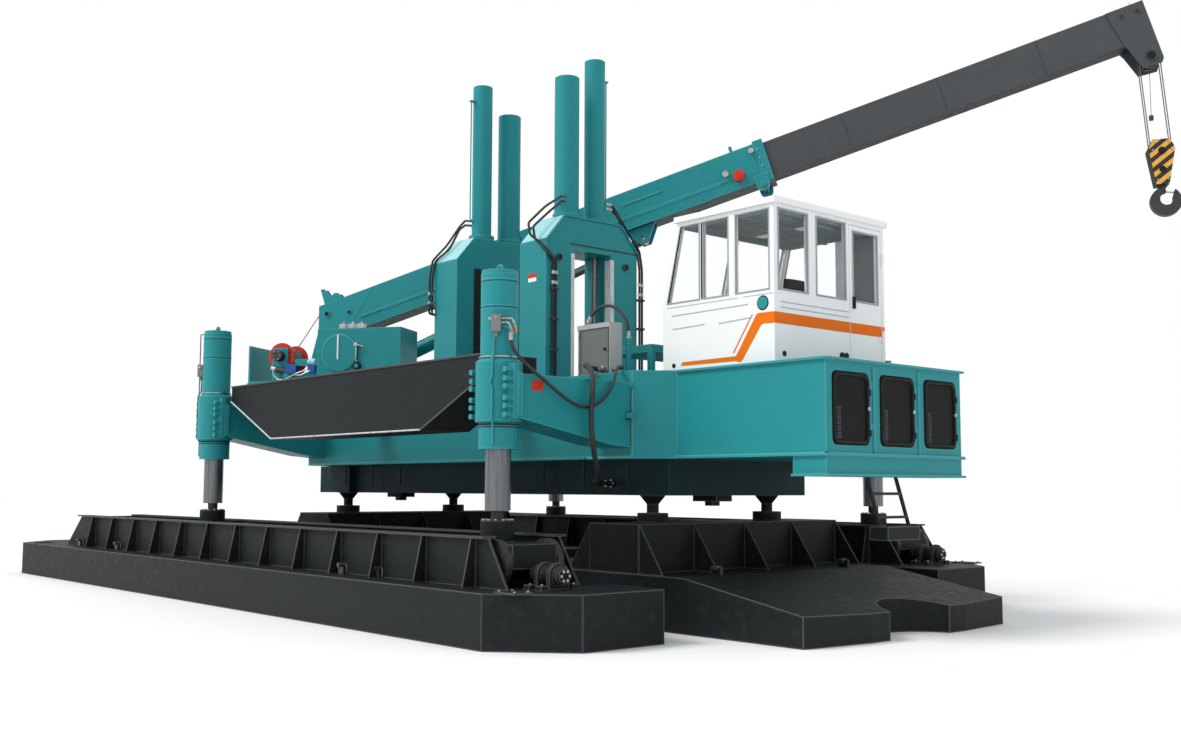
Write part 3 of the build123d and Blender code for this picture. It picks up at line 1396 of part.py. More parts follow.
def build():
    """Every node with its piece or pieces, before the shift to the origin."""
    nodes = {}
    ways = (("near", -1), ("far", 1))
    ends = (("rear", -1), ("front", 1))
    for name, way in ways:
        y = way * JACK_Y
        nodes[name + "_hull"] = [long_hull(way)]
        nodes[name + "_rail_box"] = [rail_box(way), travel_anchor(way)]
        nodes[name + "_travel_barrel"] = [travel_barrel(way)]
        nodes[name + "_trolleys"] = [trolley(-JACK_X, y), trolley(JACK_X, y) + travel_rod(way)]
        nodes[name + "_jack_rods"] = [jack_rod(end * JACK_X, y) for _, end in ends]
        number = 0
        for _, end in ends:
            for axle in (-1, 1):
                number += 1
                x = end * JACK_X + axle * WHEEL_X
                nodes[f"{name}_axle_{number}"] = [wheel_axle(x, y)]
    nodes["jack_barrels"] = [jack_barrel(end * JACK_X, way * JACK_Y) for _, end in ends for _, way in ways]
    nodes["jack_barrels"][2] += jack_hose_fitting()
    nodes["main_body"] = [main_body()]
    nodes["cross_arms"] = [cross_arm(end * JACK_X, way) for _, end in ends for _, way in ways]
    nodes["underframe"] = [underframe()]
    nodes["ball_supports"] = [ball_support(end * JACK_X, out * BALL_Y) for _, end in ends for out in (-1, 1)]
    for name, end in ends:
        nodes[name + "_short_pontoon"] = [short_hull(end) + short_box(end)]
    nodes["press_frames"] = [
        press_frame(PRESS_X - FRAME_DX, PRESS_REAR_X),
        press_frame(PRESS_X + FRAME_DX, PRESS_FRONT_X),
    ]
    nodes["press_cylinders"] = [press_cylinder(*place) for place in press_places()]
    nodes["clamp_box"] = [clamp_box()]
    nodes["clamp_rods"] = [clamp_rod(x, y) for x, y, _, _ in press_places()]
    nodes["weight_trays"] = [weight_tray(way) for _, way in ways]
    nodes["front_platform"] = [platform()]
    length, width, height = POWER_PACK
    pack_x = BODY_HALF_L + PLATFORM_T + 80
    floor = BODY_BOTTOM_Z + PLATFORM_T
    nodes["power_pack"] = [block(pack_x, pack_x + length, -width / 2, width / 2, floor, floor + height)]
    for number, name in ((-1, "near"), (0, "middle"), (1, "far")):
        nodes[f"platform_door_{name}"] = [platform_door(number * DOOR_PITCH)]
    nodes["cab_shell"] = [cab_shell()]
    nodes["cab_glass"] = cab_glass()
    nodes["cab_roof"] = [cab_roof()]
    nodes["cab_door"] = [cab_door()]
    nodes["cab_seat"] = [cab_seat()]
    nodes["cab_console"] = [cab_console()]
    nodes["boarding_ladder"] = [ladder()]
    nodes["electric_cabinet"] = [electric_cabinet()]
    nodes["jack_hose"] = [hose(JACK_HOSE, JACK_HOSE_R)]
    nodes["loop_hose"] = [hose(LOOP_HOSE, LOOP_HOSE_R)]
    nodes["drop_hose"] = [hose(DROP_HOSE, DROP_HOSE_R)]
    crane = {
        "crane_pedestal": [pedestal()],
        "crane_turret": [turret()],
        "crane_tank": [crane_tank()],
        "winch_drum": [winch_drum()],
        "winch_motor": [winch_motor()],
        "boom_base": [boom_base()],
        "boom_extension": [boom_extension()],
        "boom_head": [boom_head()],
        "head_sheaves": head_sheaves(),
        "luff_barrel": [luff_barrel()],
        "luff_rod": [luff_rod()],
        "hoist_falls": hoist_falls(),
        "hook_block": [hook_block()],
        "load_hook": [load_hook()],
    }
    for name, pieces in crane.items():
        nodes[name] = [crane_place(piece) for piece in pieces]
    return nodes


NODES = build()
BOXES = [piece.bounding_box() for pieces in NODES.values() for piece in pieces]
LOW = Vector(min(box.min.X for box in BOXES), min(box.min.Y for box in BOXES), 0)
HIGH = Vector(max(box.max.X for box in BOXES), max(box.max.Y for box in BOXES), max(box.max.Z for box in BOXES))
SHIFT = Vector(-(LOW.X + HIGH.X) / 2, -(LOW.Y + HIGH.Y) / 2, 0)

os.makedirs("parts", exist_ok=True)
for name, pieces in NODES.items():
    moved = [Location(SHIFT) * piece for piece in pieces]
    export_step(moved[0] if len(moved) == 1 else Compound(children=moved), f"parts/{name}.step")
print("shift", SHIFT, "size", HIGH - LOW, "nodes", len(NODES))
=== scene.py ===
import math

import bmesh
import bpy
from mathutils import Matrix, Vector


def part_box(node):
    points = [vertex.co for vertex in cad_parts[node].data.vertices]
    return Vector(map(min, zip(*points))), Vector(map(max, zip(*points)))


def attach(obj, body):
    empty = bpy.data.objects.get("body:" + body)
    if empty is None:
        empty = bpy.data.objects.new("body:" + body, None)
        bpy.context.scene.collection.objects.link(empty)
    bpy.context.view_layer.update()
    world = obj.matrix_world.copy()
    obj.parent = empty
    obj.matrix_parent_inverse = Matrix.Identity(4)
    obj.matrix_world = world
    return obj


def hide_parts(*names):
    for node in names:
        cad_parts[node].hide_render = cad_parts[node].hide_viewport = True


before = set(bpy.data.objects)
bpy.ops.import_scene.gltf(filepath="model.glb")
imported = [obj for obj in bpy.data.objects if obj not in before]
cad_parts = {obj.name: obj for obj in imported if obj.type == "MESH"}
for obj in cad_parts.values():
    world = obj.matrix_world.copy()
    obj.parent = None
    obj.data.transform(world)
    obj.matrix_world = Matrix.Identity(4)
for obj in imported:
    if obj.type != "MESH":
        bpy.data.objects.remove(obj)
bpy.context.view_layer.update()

# Place of everything
# Pieces are placed from the middle of the main body, with x to the cab end, y to the far side and z up
# from the ground, in metres, as the builders would set them out from the machine's centre line.
body_low, body_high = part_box("main_body")
HOME = Vector(((body_low.x + body_high.x) / 2, (body_low.y + body_high.y) / 2, 0.0))
Z = (0, 0, 1)


def at(x, y, z):
    return HOME + Vector((x, y, z))


def up(z):
    return Vector((0.0, 0.0, z))


def linked(name, data):
    thing = bpy.data.objects.new(name, data)
    bpy.context.scene.collection.objects.link(thing)
    return thing


# Camera
# A person stands off the near front corner, eyes at 1.56 m, and looks a little up at the machine.
EYE = at(14.116, -11.300, 1.562)
LOOK_TURN, LOOK_UP, LOOK_ROLL = math.radians(48.764), math.radians(5.153), math.radians(0.213)
ahead = Vector(
    (-math.sin(LOOK_TURN) * math.cos(LOOK_UP), math.cos(LOOK_TURN) * math.cos(LOOK_UP), math.sin(LOOK_UP))
)
level = Vector((math.cos(LOOK_TURN), math.sin(LOOK_TURN), 0.0))
upward = level.cross(ahead)
right = level * math.cos(LOOK_ROLL) + upward * math.sin(LOOK_ROLL)
upward = upward * math.cos(LOOK_ROLL) - level * math.sin(LOOK_ROLL)
lens = bpy.data.cameras.new("view")
lens.sensor_width = 36.0
lens.lens = 37.58
lens.clip_end = 500.0
view = linked("view", lens)
view.matrix_world = Matrix.Translation(EYE) @ Matrix((right, upward, -ahead)).transposed().to_4x4()
bpy.context.scene.camera = view

# Hydraulic hoses
# Wire-braided rubber hose with a cloth-wrapped cover, cut to length, with a crimped steel end on each
# side. They hang between the near front jack, the cabinet and the underframe, held only at their ends.


def new_material(name):
    material = bpy.data.materials.new(name)
    material.use_nodes = True
    return material, material.node_tree, material.node_tree.nodes["Principled BSDF"]


def feed(tree, taker, feeds):
    for label, value in feeds.items():
        if isinstance(value, bpy.types.NodeSocket):
            tree.links.new(value, taker.inputs[label])
        else:
            taker.inputs[label].default_value = value


def add(tree, kind, feeds=None, **settings):
    made = tree.nodes.new(kind)
    for label, value in settings.items():
        setattr(made, label, value)
    feed(tree, made, feeds or {})
    return made


def own_place(tree):
    return add(tree, "ShaderNodeTexCoord").outputs["Object"]


def noise(tree, place, scale, detail=2.0, rough=0.5):
    feeds = {"Vector": place, "Scale": scale, "Detail": detail, "Roughness": rough}
    return add(tree, "ShaderNodeTexNoise", feeds).outputs["Fac"]


def ramp(tree, share, dark, bright, first=0.0, last=1.0):
    tone = add(tree, "ShaderNodeValToRGB", {"Fac": share})
    for stop, position, colour in zip(tone.color_ramp.elements, (first, last), (dark, bright)):
        stop.position = position
        stop.color = (*colour, 1)
    return tone.outputs["Color"]


def spanned(tree, value, low, high, to_low, to_high):
    feeds = {"Value": value, "From Min": low, "From Max": high, "To Min": to_low, "To Max": to_high}
    return add(tree, "ShaderNodeMapRange", feeds).outputs["Result"]


def bumped(tree, height, strength, distance, normal=None):
    feeds = {"Height": height, "Strength": strength, "Distance": distance}
    if normal:
        feeds["Normal"] = normal
    return add(tree, "ShaderNodeBump", feeds).outputs["Normal"]


RUBBER, tree, shader = new_material("wrapped_hose_rubber")
place = own_place(tree)
wrap = add(tree, "ShaderNodeTexWave", {"Vector": place, "Scale": 28.0, "Distortion": 1.2})
feed(tree, shader, {
    "Base Color": ramp(tree, noise(tree, place, 14.0, 6.0), (0.010, 0.010, 0.011), (0.040, 0.040, 0.042)),
    "Normal": bumped(tree, wrap.outputs["Fac"], 0.25, 0.001),
    "Roughness": 0.55,
})


def machined(name, colour, rough, streak=(1.0, 1.0, 18.0), metal=1.0, depth=0.04):
    material, tree, shader = new_material(name)
    stretch = add(tree, "ShaderNodeMapping", {"Vector": own_place(tree), "Scale": streak})
    lines = noise(tree, stretch.outputs["Vector"], 6.0, 7.0)
    dark, bright = [c * 0.72 for c in colour], [min(1.0, c * 1.15) for c in colour]
    feed(tree, shader, {
        "Base Color": ramp(tree, lines, dark, bright, 0.32, 0.68),
        "Roughness": spanned(tree, lines, 0.0, 1.0, rough - 0.08, rough + 0.12),
        "Normal": bumped(tree, lines, depth, 0.002),
        "Metallic": metal,
    })
    return material


PLATED = machined("zinc_plated_steel", (0.52, 0.52, 0.50), 0.34, streak=(4.0, 4.0, 4.0))


def bar(steel, start, end, radius, far_radius=None, sides=24):
    start, end = Vector(start), Vector(end)
    along = end - start
    turn = Vector(Z).rotation_difference(along).to_matrix().to_4x4()
    bmesh.ops.create_cone(
        steel,
        cap_ends=True,
        segments=sides,
        radius1=radius,
        radius2=radius if far_radius is None else far_radius,
        depth=along.length,
        matrix=Matrix.Translation((start + end) / 2) @ turn,
    )


def placed(name, data, body):
    piece = linked(name, data)
    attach(piece, body)
    return piece


def finished(steel, name, body, material):
    bmesh.ops.recalc_face_normals(steel, faces=steel.faces[:])
    mesh = bpy.data.meshes.new(name)
    steel.to_mesh(mesh)
    steel.free()
    mesh.materials.append(material)
    for face in mesh.polygons:
        face.use_smooth = True
    mesh.set_sharp_from_angle(angle=math.radians(32))
    return placed(name, mesh, body)


def bars(name, body, material, slot, *runs, sides=24):
    steel = bmesh.new()
    for start, end, radius in runs:
        bar(steel, start, end, radius, sides=sides)
    return finished(steel, name, body, material)


def round_line(name, radius, roundness, steps, rows):
    line = bpy.data.curves.new(name, "CURVE")
    line.dimensions = "3D"
    line.bevel_depth = radius
    line.bevel_resolution = roundness
    line.resolution_u = steps
    line.use_fill_caps = True
    for row in rows:
        strand = line.splines.new("NURBS")
        strand.points.add(len(row) - 1)
        for point, spot in zip(strand.points, row):
            point.co = (*spot, 1)
        strand.order_u = 3
        strand.use_endpoint_u = True
    return line


def hung_hose(name, bore, length, *route):
    route = [at(*spot) for spot in route]
    line = round_line(name, bore / 2, 5, 10, [route])
    line.materials.append(RUBBER)
    hose = placed(name + "_line", line, "machine")
    ends = bmesh.new()
    for mouth, inner in ((route[0], route[1]), (route[-1], route[-2])):
        along = (inner - mouth).normalized()
        bar(ends, mouth, mouth + along * bore * 2.2, bore * 0.62)
        bar(ends, mouth, mouth + along * bore * 0.7, bore * 0.82, sides=6)
    crimps = finished(ends, name + "_ends", "machine", PLATED)
    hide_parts(name)


hung_hose(
    "jack_hose", 0.038, 2.887,
    (3.800, -3.385, 3.205), (3.800, -3.385, 3.075), (3.828, -3.295, 2.945), (3.855, -3.125, 2.812),
    (3.866, -2.930, 2.688), (3.868, -2.740, 2.570), (3.866, -2.560, 2.478), (3.862, -2.390, 2.446),
    (3.860, -2.230, 2.482), (3.862, -2.090, 2.578), (3.852, -1.985, 2.698), (3.800, -1.890, 2.825),
    (3.690, -1.765, 2.930), (3.580, -1.620, 2.978), (3.480, -1.470, 2.992), (3.345, -1.350, 2.990),
    (3.180, -1.350, 2.990),
)
hung_hose(
    "loop_hose", 0.040, 0.967,
    (2.640, -1.285, 3.610), (2.702, -1.270, 3.717), (2.812, -1.240, 3.795), (2.945, -1.205, 3.812),
    (3.070, -1.172, 3.755), (3.170, -1.156, 3.650), (3.236, -1.150, 3.515), (3.236, -1.150, 3.375),
)
hung_hose(
    "drop_hose", 0.060, 3.758,
    (3.060, -1.400, 2.990), (3.060, -1.570, 2.990), (3.160, -1.760, 3.000), (3.325, -1.930, 2.992),
    (3.535, -2.075, 2.962), (3.745, -2.200, 2.895), (3.888, -2.290, 2.752), (3.915, -2.335, 2.560),
    (3.918, -2.350, 2.360), (3.903, -2.328, 2.165), (3.862, -2.265, 1.985), (3.775, -2.145, 1.835),
    (3.620, -1.975, 1.728), (3.430, -1.815, 1.668), (3.220, -1.670, 1.636), (3.040, -1.510, 1.624),
    (2.930, -1.310, 1.620), (2.930, -1.115, 1.620),
)

# Floor and light
# The machine stands on a plain pale floor under an even sky, with one soft lamp from its near rear side.
# The sky shows plain white, also through the cab's panes.
bpy.context.scene.view_settings.view_transform = "Standard"
floor_paint, tree, shader = new_material("pale_floor")
feed(tree, shader, {"Base Color": (0.90, 0.90, 0.90, 1), "Roughness": 0.9, "Specular IOR Level": 0.05})
FLOOR_HALF = 90
corners = [(x * FLOOR_HALF, y * FLOOR_HALF, -0.001) for x, y in ((-1, -1), (1, -1), (1, 1), (-1, 1))]
floor_mesh = bpy.data.meshes.new("floor")
floor_mesh.from_pydata(corners, [], [(0, 1, 2, 3)])
floor_mesh.materials.append(floor_paint)
linked("floor", floor_mesh)

world = bpy.data.worlds.new("sky")
bpy.context.scene.world = world
world.use_nodes = True
sky = world.node_tree
sky.nodes.clear()
plain = add(sky, "ShaderNodeBackground", {"Color": (1.0, 1.0, 1.0, 1), "Strength": 1.0})
even = add(sky, "ShaderNodeBackground", {"Color": (0.97, 0.985, 1.0, 1), "Strength": 0.82})
seen = add(sky, "ShaderNodeLightPath").outputs
straight = add(
    sky, "ShaderNodeMath", {0: seen["Is Camera Ray"], 1: seen["Is Transmission Ray"]}, operation="MAXIMUM"
)
either = add(sky, "ShaderNodeMixShader", {0: straight.outputs[0], 1: even.outputs[0], 2: plain.outputs[0]})
add(sky, "ShaderNodeOutputWorld", {"Surface": either.outputs[0]})
lamp_data = bpy.data.lights.new("soft_lamp", "SUN")
lamp_data.energy = 1.95
lamp_data.angle = math.radians(25)
lamp_data.color = (1.0, 0.98, 0.95)
lamp = linked("soft_lamp", lamp_data)
lamp.rotation_euler = Vector((0.30, 0.62, -0.72)).to_track_quat("-Z", "Y").to_euler()

# Long pontoons
# Plated steel boats, shot-blasted and sprayed in charcoal enamel, each with a ribbed rail box welded
# on top. The travel cylinder lies in the box, and its rod is anchored under two straps at the nose.


def mixed(tree, share, under, over):
    feeds = {"Factor": share, "A": under, "B": (*over, 1)}
    return add(tree, "ShaderNodeMix", feeds, data_type="RGBA").outputs["Result"]


def enamel(name, colour, rough=0.42, dusty=0.06, coat=0.06, spread=0.08, edge_wear_and_highlight=0.0, shine=0.25):
    material, tree, shader = new_material(name)
    place = own_place(tree)
    patches, scuffs = noise(tree, place, 0.55, 6.0, 0.62), noise(tree, place, 9.0, 8.0)
    dark, bright = [c * (1 - spread) for c in colour], [min(1.0, c * (1 + spread)) for c in colour]
    dust = spanned(tree, scuffs, 0.50, 0.78, 0.0, dusty)
    painted = mixed(tree, dust, ramp(tree, patches, dark, bright, 0.30, 0.70), (0.35, 0.34, 0.32))
    # Near edges the colour turns to a lighter rubbed tint: partly paint worn off the edges, partly a painted
    # highlight along them.
    if edge_wear_and_highlight:
        shape = add(tree, "ShaderNodeNewGeometry")
        soft = add(tree, "ShaderNodeBevel", {"Radius": 0.026}, samples=4)
        normals = {0: shape.outputs["Normal"], 1: soft.outputs["Normal"]}
        turned = add(tree, "ShaderNodeVectorMath", normals, operation="DOT_PRODUCT")
        rim = spanned(tree, turned.outputs["Value"], 0.995, 0.86, 0.0, edge_wear_and_highlight)
        painted = mixed(tree, rim, painted, [min(1.0, c * 1.9 + 0.14) for c in colour])
    rounded = add(tree, "ShaderNodeBevel", {"Radius": 0.006}, samples=3)
    feed(tree, shader, {
        "Base Color": painted,
        "Roughness": spanned(tree, scuffs, 0.3, 0.7, rough - 0.07, rough + 0.09),
        "Normal": bumped(tree, noise(tree, place, 55.0), 0.06, 0.002, rounded.outputs["Normal"]),
        "Coat Weight": coat,
        "Coat Roughness": 0.22,
        "Specular IOR Level": shine,
    })
    return material


def repaint(material, *names):
    for name in names:
        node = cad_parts[name]
        node.data.materials.clear()
        node.data.materials.append(material)
        for face in node.data.polygons:
            face.material_index = 0


def block(steel, low, high):
    low, high = at(*low), at(*high)
    made = bmesh.ops.create_cube(steel, size=1.0)
    for corner in made["verts"]:
        corner.co = Vector(
            (low[k] + high[k]) / 2 + corner.co[k] * abs(high[k] - low[k]) for k in range(3)
        )


def blocks(name, body, material, slot, *corners):
    steel = bmesh.new()
    for low, high in corners:
        block(steel, low, high)
    return finished(steel, name, body, material)


def turned_block(steel, centre, size, along, across):
    along, across = Vector(along).normalized(), Vector(across).normalized()
    turn = Matrix((along, across, along.cross(across))).transposed()
    made = bmesh.ops.create_cube(steel, size=1.0)
    for corner in made["verts"]:
        corner.co = Vector(centre) + turn @ Vector(corner.co[k] * size[k] for k in range(3))


def around(count, radius, first=0.0):
    turns = [math.radians(360 * k / count + first) for k in range(count)]
    return [(radius * math.cos(turn), radius * math.sin(turn)) for turn in turns]


def new_group(name, kinds):
    group = bpy.data.node_groups.new(name, "GeometryNodeTree")
    for label, kind in (*kinds.items(), ("Finish", "Material")):
        group.interface.new_socket(label, in_out="INPUT", socket_type="NodeSocket" + kind)
    group.interface.new_socket("Made", in_out="OUTPUT", socket_type="NodeSocketGeometry")
    return group, group.nodes.new("NodeGroupInput").outputs


def close_group(group, given, made):
    whole = add(group, "GeometryNodeRealizeInstances", {"Geometry": made}).outputs["Geometry"]
    coated = add(group, "GeometryNodeSetMaterial", {"Geometry": whole, "Material": given["Finish"]})
    add(group, "NodeGroupOutput", {"Made": coated.outputs["Geometry"]})


def made_by(group, name, start, settings, body, material):
    source = linked(name + "_source", start)
    step = source.modifiers.new("make", "NODES")
    step.node_group = group
    sockets = {item.name: item.identifier for item in group.interface.items_tree if item.in_out == "INPUT"}
    for label, value in settings.items():
        step[sockets[label]] = value
    step[sockets["Finish"]] = material
    ready = bpy.context.evaluated_depsgraph_get()
    mesh = bpy.data.meshes.new_from_object(source.evaluated_get(ready))
    bpy.data.objects.remove(source)
    mesh.name = name
    return placed(name, mesh, body)


# One group of nodes sets a hexagon head on every given spot, square to the face that it holds.
bolt_group, given = new_group(
    "bolt_heads", {"Spots": "Geometry", "Radius": "Float", "Height": "Float", "Sides": "Int"}
)
sizes = {"Vertices": given["Sides"], "Radius": given["Radius"], "Depth": given["Height"]}
head = add(bolt_group, "GeometryNodeMeshCylinder", sizes)
facing = add(bolt_group, "GeometryNodeInputNamedAttribute", {"Name": "facing"}, data_type="FLOAT_VECTOR")
square = add(
    bolt_group, "FunctionNodeAlignRotationToVector", {"Vector": facing.outputs["Attribute"]}, axis="Z"
)
heads = add(
    bolt_group,
    "GeometryNodeInstanceOnPoints",
    {"Points": given["Spots"], "Instance": head.outputs["Mesh"], "Rotation": square.outputs["Rotation"]},
)
close_group(bolt_group, given, heads.outputs["Instances"])


def bolt_heads(name, body, material, spots, radius, height, sides=6):
    start = bpy.data.meshes.new(name + "_spots")
    lifted = [tuple(Vector(spot) + Vector(way).normalized() * height / 2) for spot, way in spots]
    start.from_pydata(lifted, [], [])
    ways = start.attributes.new("facing", "FLOAT_VECTOR", "POINT")
    for number, (spot, way) in enumerate(spots):
        ways.data[number].vector = way
    settings = {"Radius": radius, "Height": height, "Sides": sides}
    return made_by(bolt_group, name, start, settings, body, material)


JACK_X, JACK_Y = 3.530, 3.330
CHARCOAL = enamel(
    "charcoal_enamel", (0.0095, 0.0125, 0.0140), rough=0.55, dusty=0.03, coat=0.0, spread=0.06, edge_wear_and_highlight=0.85,
    shine=0.18,
)
CAST = machined("cast_iron", (0.060, 0.060, 0.062), 0.55, streak=(3.0, 3.0, 3.0), metal=0.6, depth=0.15)
RED = enamel("red_enamel", (0.62, 0.030, 0.012), rough=0.4)
WORN = machined("rail_steel", (0.20, 0.20, 0.20), 0.38, streak=(0.6, 9.0, 1.0), metal=0.8)
for side, way in (("near", -1), ("far", 1)):
    repaint(CHARCOAL, side + "_hull", side + "_rail_box", side + "_travel_barrel")
    middle = way * JACK_Y
    body = side + "_pontoon"
    tracks = [
        ((-7.6, middle + y0, 0.5505), (3.95, middle + y1, 0.5525)) for y0, y1 in ((-0.34, -0.18), (0.18, 0.34))
    ]
    blocks(side + "_rail_wear", body, WORN, "rod_steel", *tracks)
    covers = [
        ((x - 0.16, middle + way * 0.50, 0.548), (x + 0.16, middle + way * 0.74, 0.566)) for x in (-9.2, 4.62)
    ]
    blocks(side + "_hull_covers", body, CHARCOAL, "charcoal_paint", *covers)
    eyes = bmesh.new()
    for x in (-7.60, -5.90, 1.20, 1.98):
        y = middle + way * 0.530
        turned_block(eyes, at(x, y, 0.590), (0.110, 0.022, 0.085), (1, 0, 0), (0, 1, 0))
        bar(eyes, at(x, y - 0.045, 0.655), at(x, y + 0.045, 0.655), 0.026)
        left, right = at(x - 0.055, y + 0.045, 0.655), at(x + 0.055, y + 0.045, 0.655)
        for start, end in ((left, right), (left, left - up(0.099)), (right, right - up(0.099))):
            bar(eyes, start, end, 0.014, sides=12)
    finished(eyes, side + "_hull_eyes", body, WORN)
    nose = bmesh.new()
    bar(nose, at(4.175, middle, 0.690), at(4.235, middle, 0.690), 0.070)
    bar(nose, at(4.615, middle, 0.690), at(4.650, middle, 0.690), 0.080)
    spots = []
    for x in (4.35, 4.54):
        for y in (middle - 0.205, middle + 0.205):
            block(nose, (x - 0.045, y - 0.045, 0.548), (x + 0.045, y + 0.045, 0.600))
            spots.append((at(x, y, 0.600), Z))
    finished(nose, side + "_anchor_trim", body, CHARCOAL)
    spots += [(at(4.650, middle + a, 0.690 + b), (1, 0, 0)) for a, b in around(6, 0.052)]
    for x in (-9.32, -9.08, 4.50, 4.74):
        for y in (0.54, 0.70):
            spots.append((at(x, middle + way * y, 0.566), Z))
    bolt_heads(side + "_pontoon_bolts", body, PLATED, spots, 0.016, 0.014)

# Trolleys and wheels
# Each trolley is a plated box on two flanged cast wheels that run inside the rail box. The ball of a
# jack rod sits in its middle, under a ring held by a circle of screws.
for side, way in (("near", -1), ("far", 1)):
    repaint(CHARCOAL, side + "_trolleys")
    repaint(CAST, *(f"{side}_axle_{number}" for number in (1, 2, 3, 4)))
    spots = []
    for x in (-JACK_X, JACK_X):
        spots += [(at(x + a, way * JACK_Y + b, 1.220), Z) for a, b in around(12, 0.155, 15)]
        for reach in (-0.57, -0.27, 0.27, 0.57):
            for y in (-1, 1):
                spots.append((at(x + reach, way * JACK_Y + y * 0.290, 0.955), (0, y, 0)))
    bolt_heads(side + "_trolley_bolts", side + "_lift", PLATED, spots, 0.017, 0.013)

# Short pontoons
# Two shorter boats lie across the machine, each with a ramped nose and a round notch for the pile. A
# ribbed box on top carries the ball supports, so the body can walk and turn on them.
repaint(CHARCOAL, "front_short_pontoon", "rear_short_pontoon")
for side, way in (("front", 1), ("rear", -1)):
    eyes = bmesh.new()
    for y in (-1.15, 1.15):
        x = way * 4.55
        turned_block(eyes, at(x, 0.13 + y, 0.64), (0.16, 0.03, 0.10), (1, 0, 0), (0, 1, 0))
        bar(eyes, at(x, 0.13 + y - 0.05, 0.68), at(x, 0.13 + y + 0.05, 0.68), 0.022)
    finished(eyes, side + "_short_eyes", side + "_short", CHARCOAL)

# Underframe and ball supports
# A low welded frame under the body, in teal darkened almost to black as painted shade for the shade
# under the body. Four turned balls in bolted housings carry it on the short pontoons.
# Teal darkened almost to black: painted shade, for parts that lie in the shade under the body and under the boom.
PAINTED_SHADE_TEAL = enamel(
    "teal_enamel_painted_shade", (0.003, 0.024, 0.027), rough=0.5, dusty=0.02, coat=0.0, edge_wear_and_highlight=0.2, shine=0.15
)
repaint(PAINTED_SHADE_TEAL, "underframe")
repaint(CHARCOAL, "ball_supports")
hangers = [
    ((x - 0.02, y - 0.01, 1.60), (x + 0.02, y + 0.01, 1.895))
    for y in (-1.225, 1.225) for x in (-3.3, -2.5, -1.7, 1.7, 2.5, 3.3)
]
blocks("underframe_stiffeners", "machine", PAINTED_SHADE_TEAL, "charcoal_paint", *hangers)
brackets = bmesh.new()
for x in (-3.55, 3.55):
    block(brackets, (x - 0.20, -0.16, 1.405), (x + 0.20, 0.12, 1.485))
    block(brackets, (x - 0.06, -0.09, 1.350), (x + 0.06, 0.05, 1.410))
finished(brackets, "cross_cylinder_brackets", "machine", CHARCOAL)

# Main body
# A deep box of thick plate with the clamp well through its middle, in teal enamel. The deck is closed by
# bolted covers, and its edge angles carry the arms and trays.
TEAL = enamel(
    "teal_enamel", (0.016, 0.250, 0.270), rough=0.42, dusty=0.015, coat=0.03, spread=0.05, edge_wear_and_highlight=0.35,
    shine=0.2,
)
LIGHT_TEAL = enamel("light_teal_enamel", (0.085, 0.460, 0.490), rough=0.4, dusty=0.01, spread=0.04)
PALE_TEAL = enamel("pale_teal_enamel", (0.32, 0.66, 0.69), rough=0.35, dusty=0.01, spread=0.03)
repaint(TEAL, "main_body")
sills = [((-3.78, y * 1.621, 1.905), (3.78, y * 1.629, 1.938)) for y in (-1, 1)]
blocks("body_edge_strips", "machine", LIGHT_TEAL, "teal_paint", *sills)
COVER_X = (-3.2, -2.2, 1.65, 2.25)
covers = [((x - 0.22, y, 2.915), (x + 0.22, y + 0.50, 2.928)) for x in COVER_X for y in (0.95, -1.45)]
blocks("deck_covers", "machine", TEAL, "teal_paint", *covers)
spots = [
    (at(x + reach, y, 2.928), Z)
    for x in COVER_X for y in (-1.42, -0.98, 0.98, 1.42) for reach in (-0.19, 0.0, 0.19)
]
bolt_heads("deck_cover_bolts", "machine", PLATED, spots, 0.012, 0.009)

# Cross arms
# Tapered box beams pinned to the body's corners. Each root has hinge lugs with keeper plates, so the
# arms can be taken off for the road.
repaint(TEAL, "cross_arms")
joints, lugs, lug_pins = (bmesh.new() for _ in range(3))
for sx in (-1, 1):
    face = sx * 3.788
    proud = face + sx * 0.060
    for sy in (-1, 1):
        block(joints, (face, sy * 1.634 - 0.006, 2.05), (face + sx * 0.005, sy * 1.634 + 0.006, 2.765))
        block(lugs, (face, sy * 1.682 - 0.050, 2.362), (proud, sy * 1.682 + 0.050, 2.420))
        plate = ((proud, -3.768) if sx < 0 else (face, 3.813))
        block(lugs, (plate[0], sy * 1.640 - 0.032, 2.715), (plate[1], sy * 1.640 + 0.032, 2.775))
        bar(lug_pins, at(face + sx * 0.030, sy * 1.682, 2.335), at(face + sx * 0.030, sy * 1.682, 2.440), 0.017)
finished(joints, "arm_joint_lines", "machine", CHARCOAL)
finished(lugs, "arm_root_lugs", "machine", TEAL)
finished(lug_pins, "arm_root_pins", "machine", CHARCOAL)
blocks("arm_red_plate", "machine", RED, "red_paint", ((3.788, -3.090, 2.608), (3.793, -2.924, 2.715)))
holes = []
for row, z in enumerate((2.628, 2.654, 2.680, 2.702)):
    for k in range(5):
        if (row * 5 + k) % 3:
            holes.append((at(3.793, -3.070 + 0.032 * k, z), (1, 0, 0)))
bolt_heads("arm_red_plate_holes", "machine", CHARCOAL, holes, 0.006, 0.0012, sides=12)

# Jacks
# Turned and sprayed barrels with a screwed head, a valve block and its steel pipes on the outer side.
# The ground rods end in the balls on the trolleys.
ROD = machined("ground_rod_steel", (0.19, 0.200, 0.206), 0.30, streak=(7.0, 7.0, 0.25), metal=0.85, depth=0.02)
COPPER = machined("copper_washer", (0.62, 0.28, 0.13), 0.32, streak=(4.0, 4.0, 4.0))
DARK = enamel("black_seal", (0.009, 0.010, 0.010), rough=0.6, coat=0.0, dusty=0.04, shine=0.2)
STONE = enamel("cast_valve_grey", (0.20, 0.20, 0.205), rough=0.55, coat=0.0)
NECK_TOP = 1.362


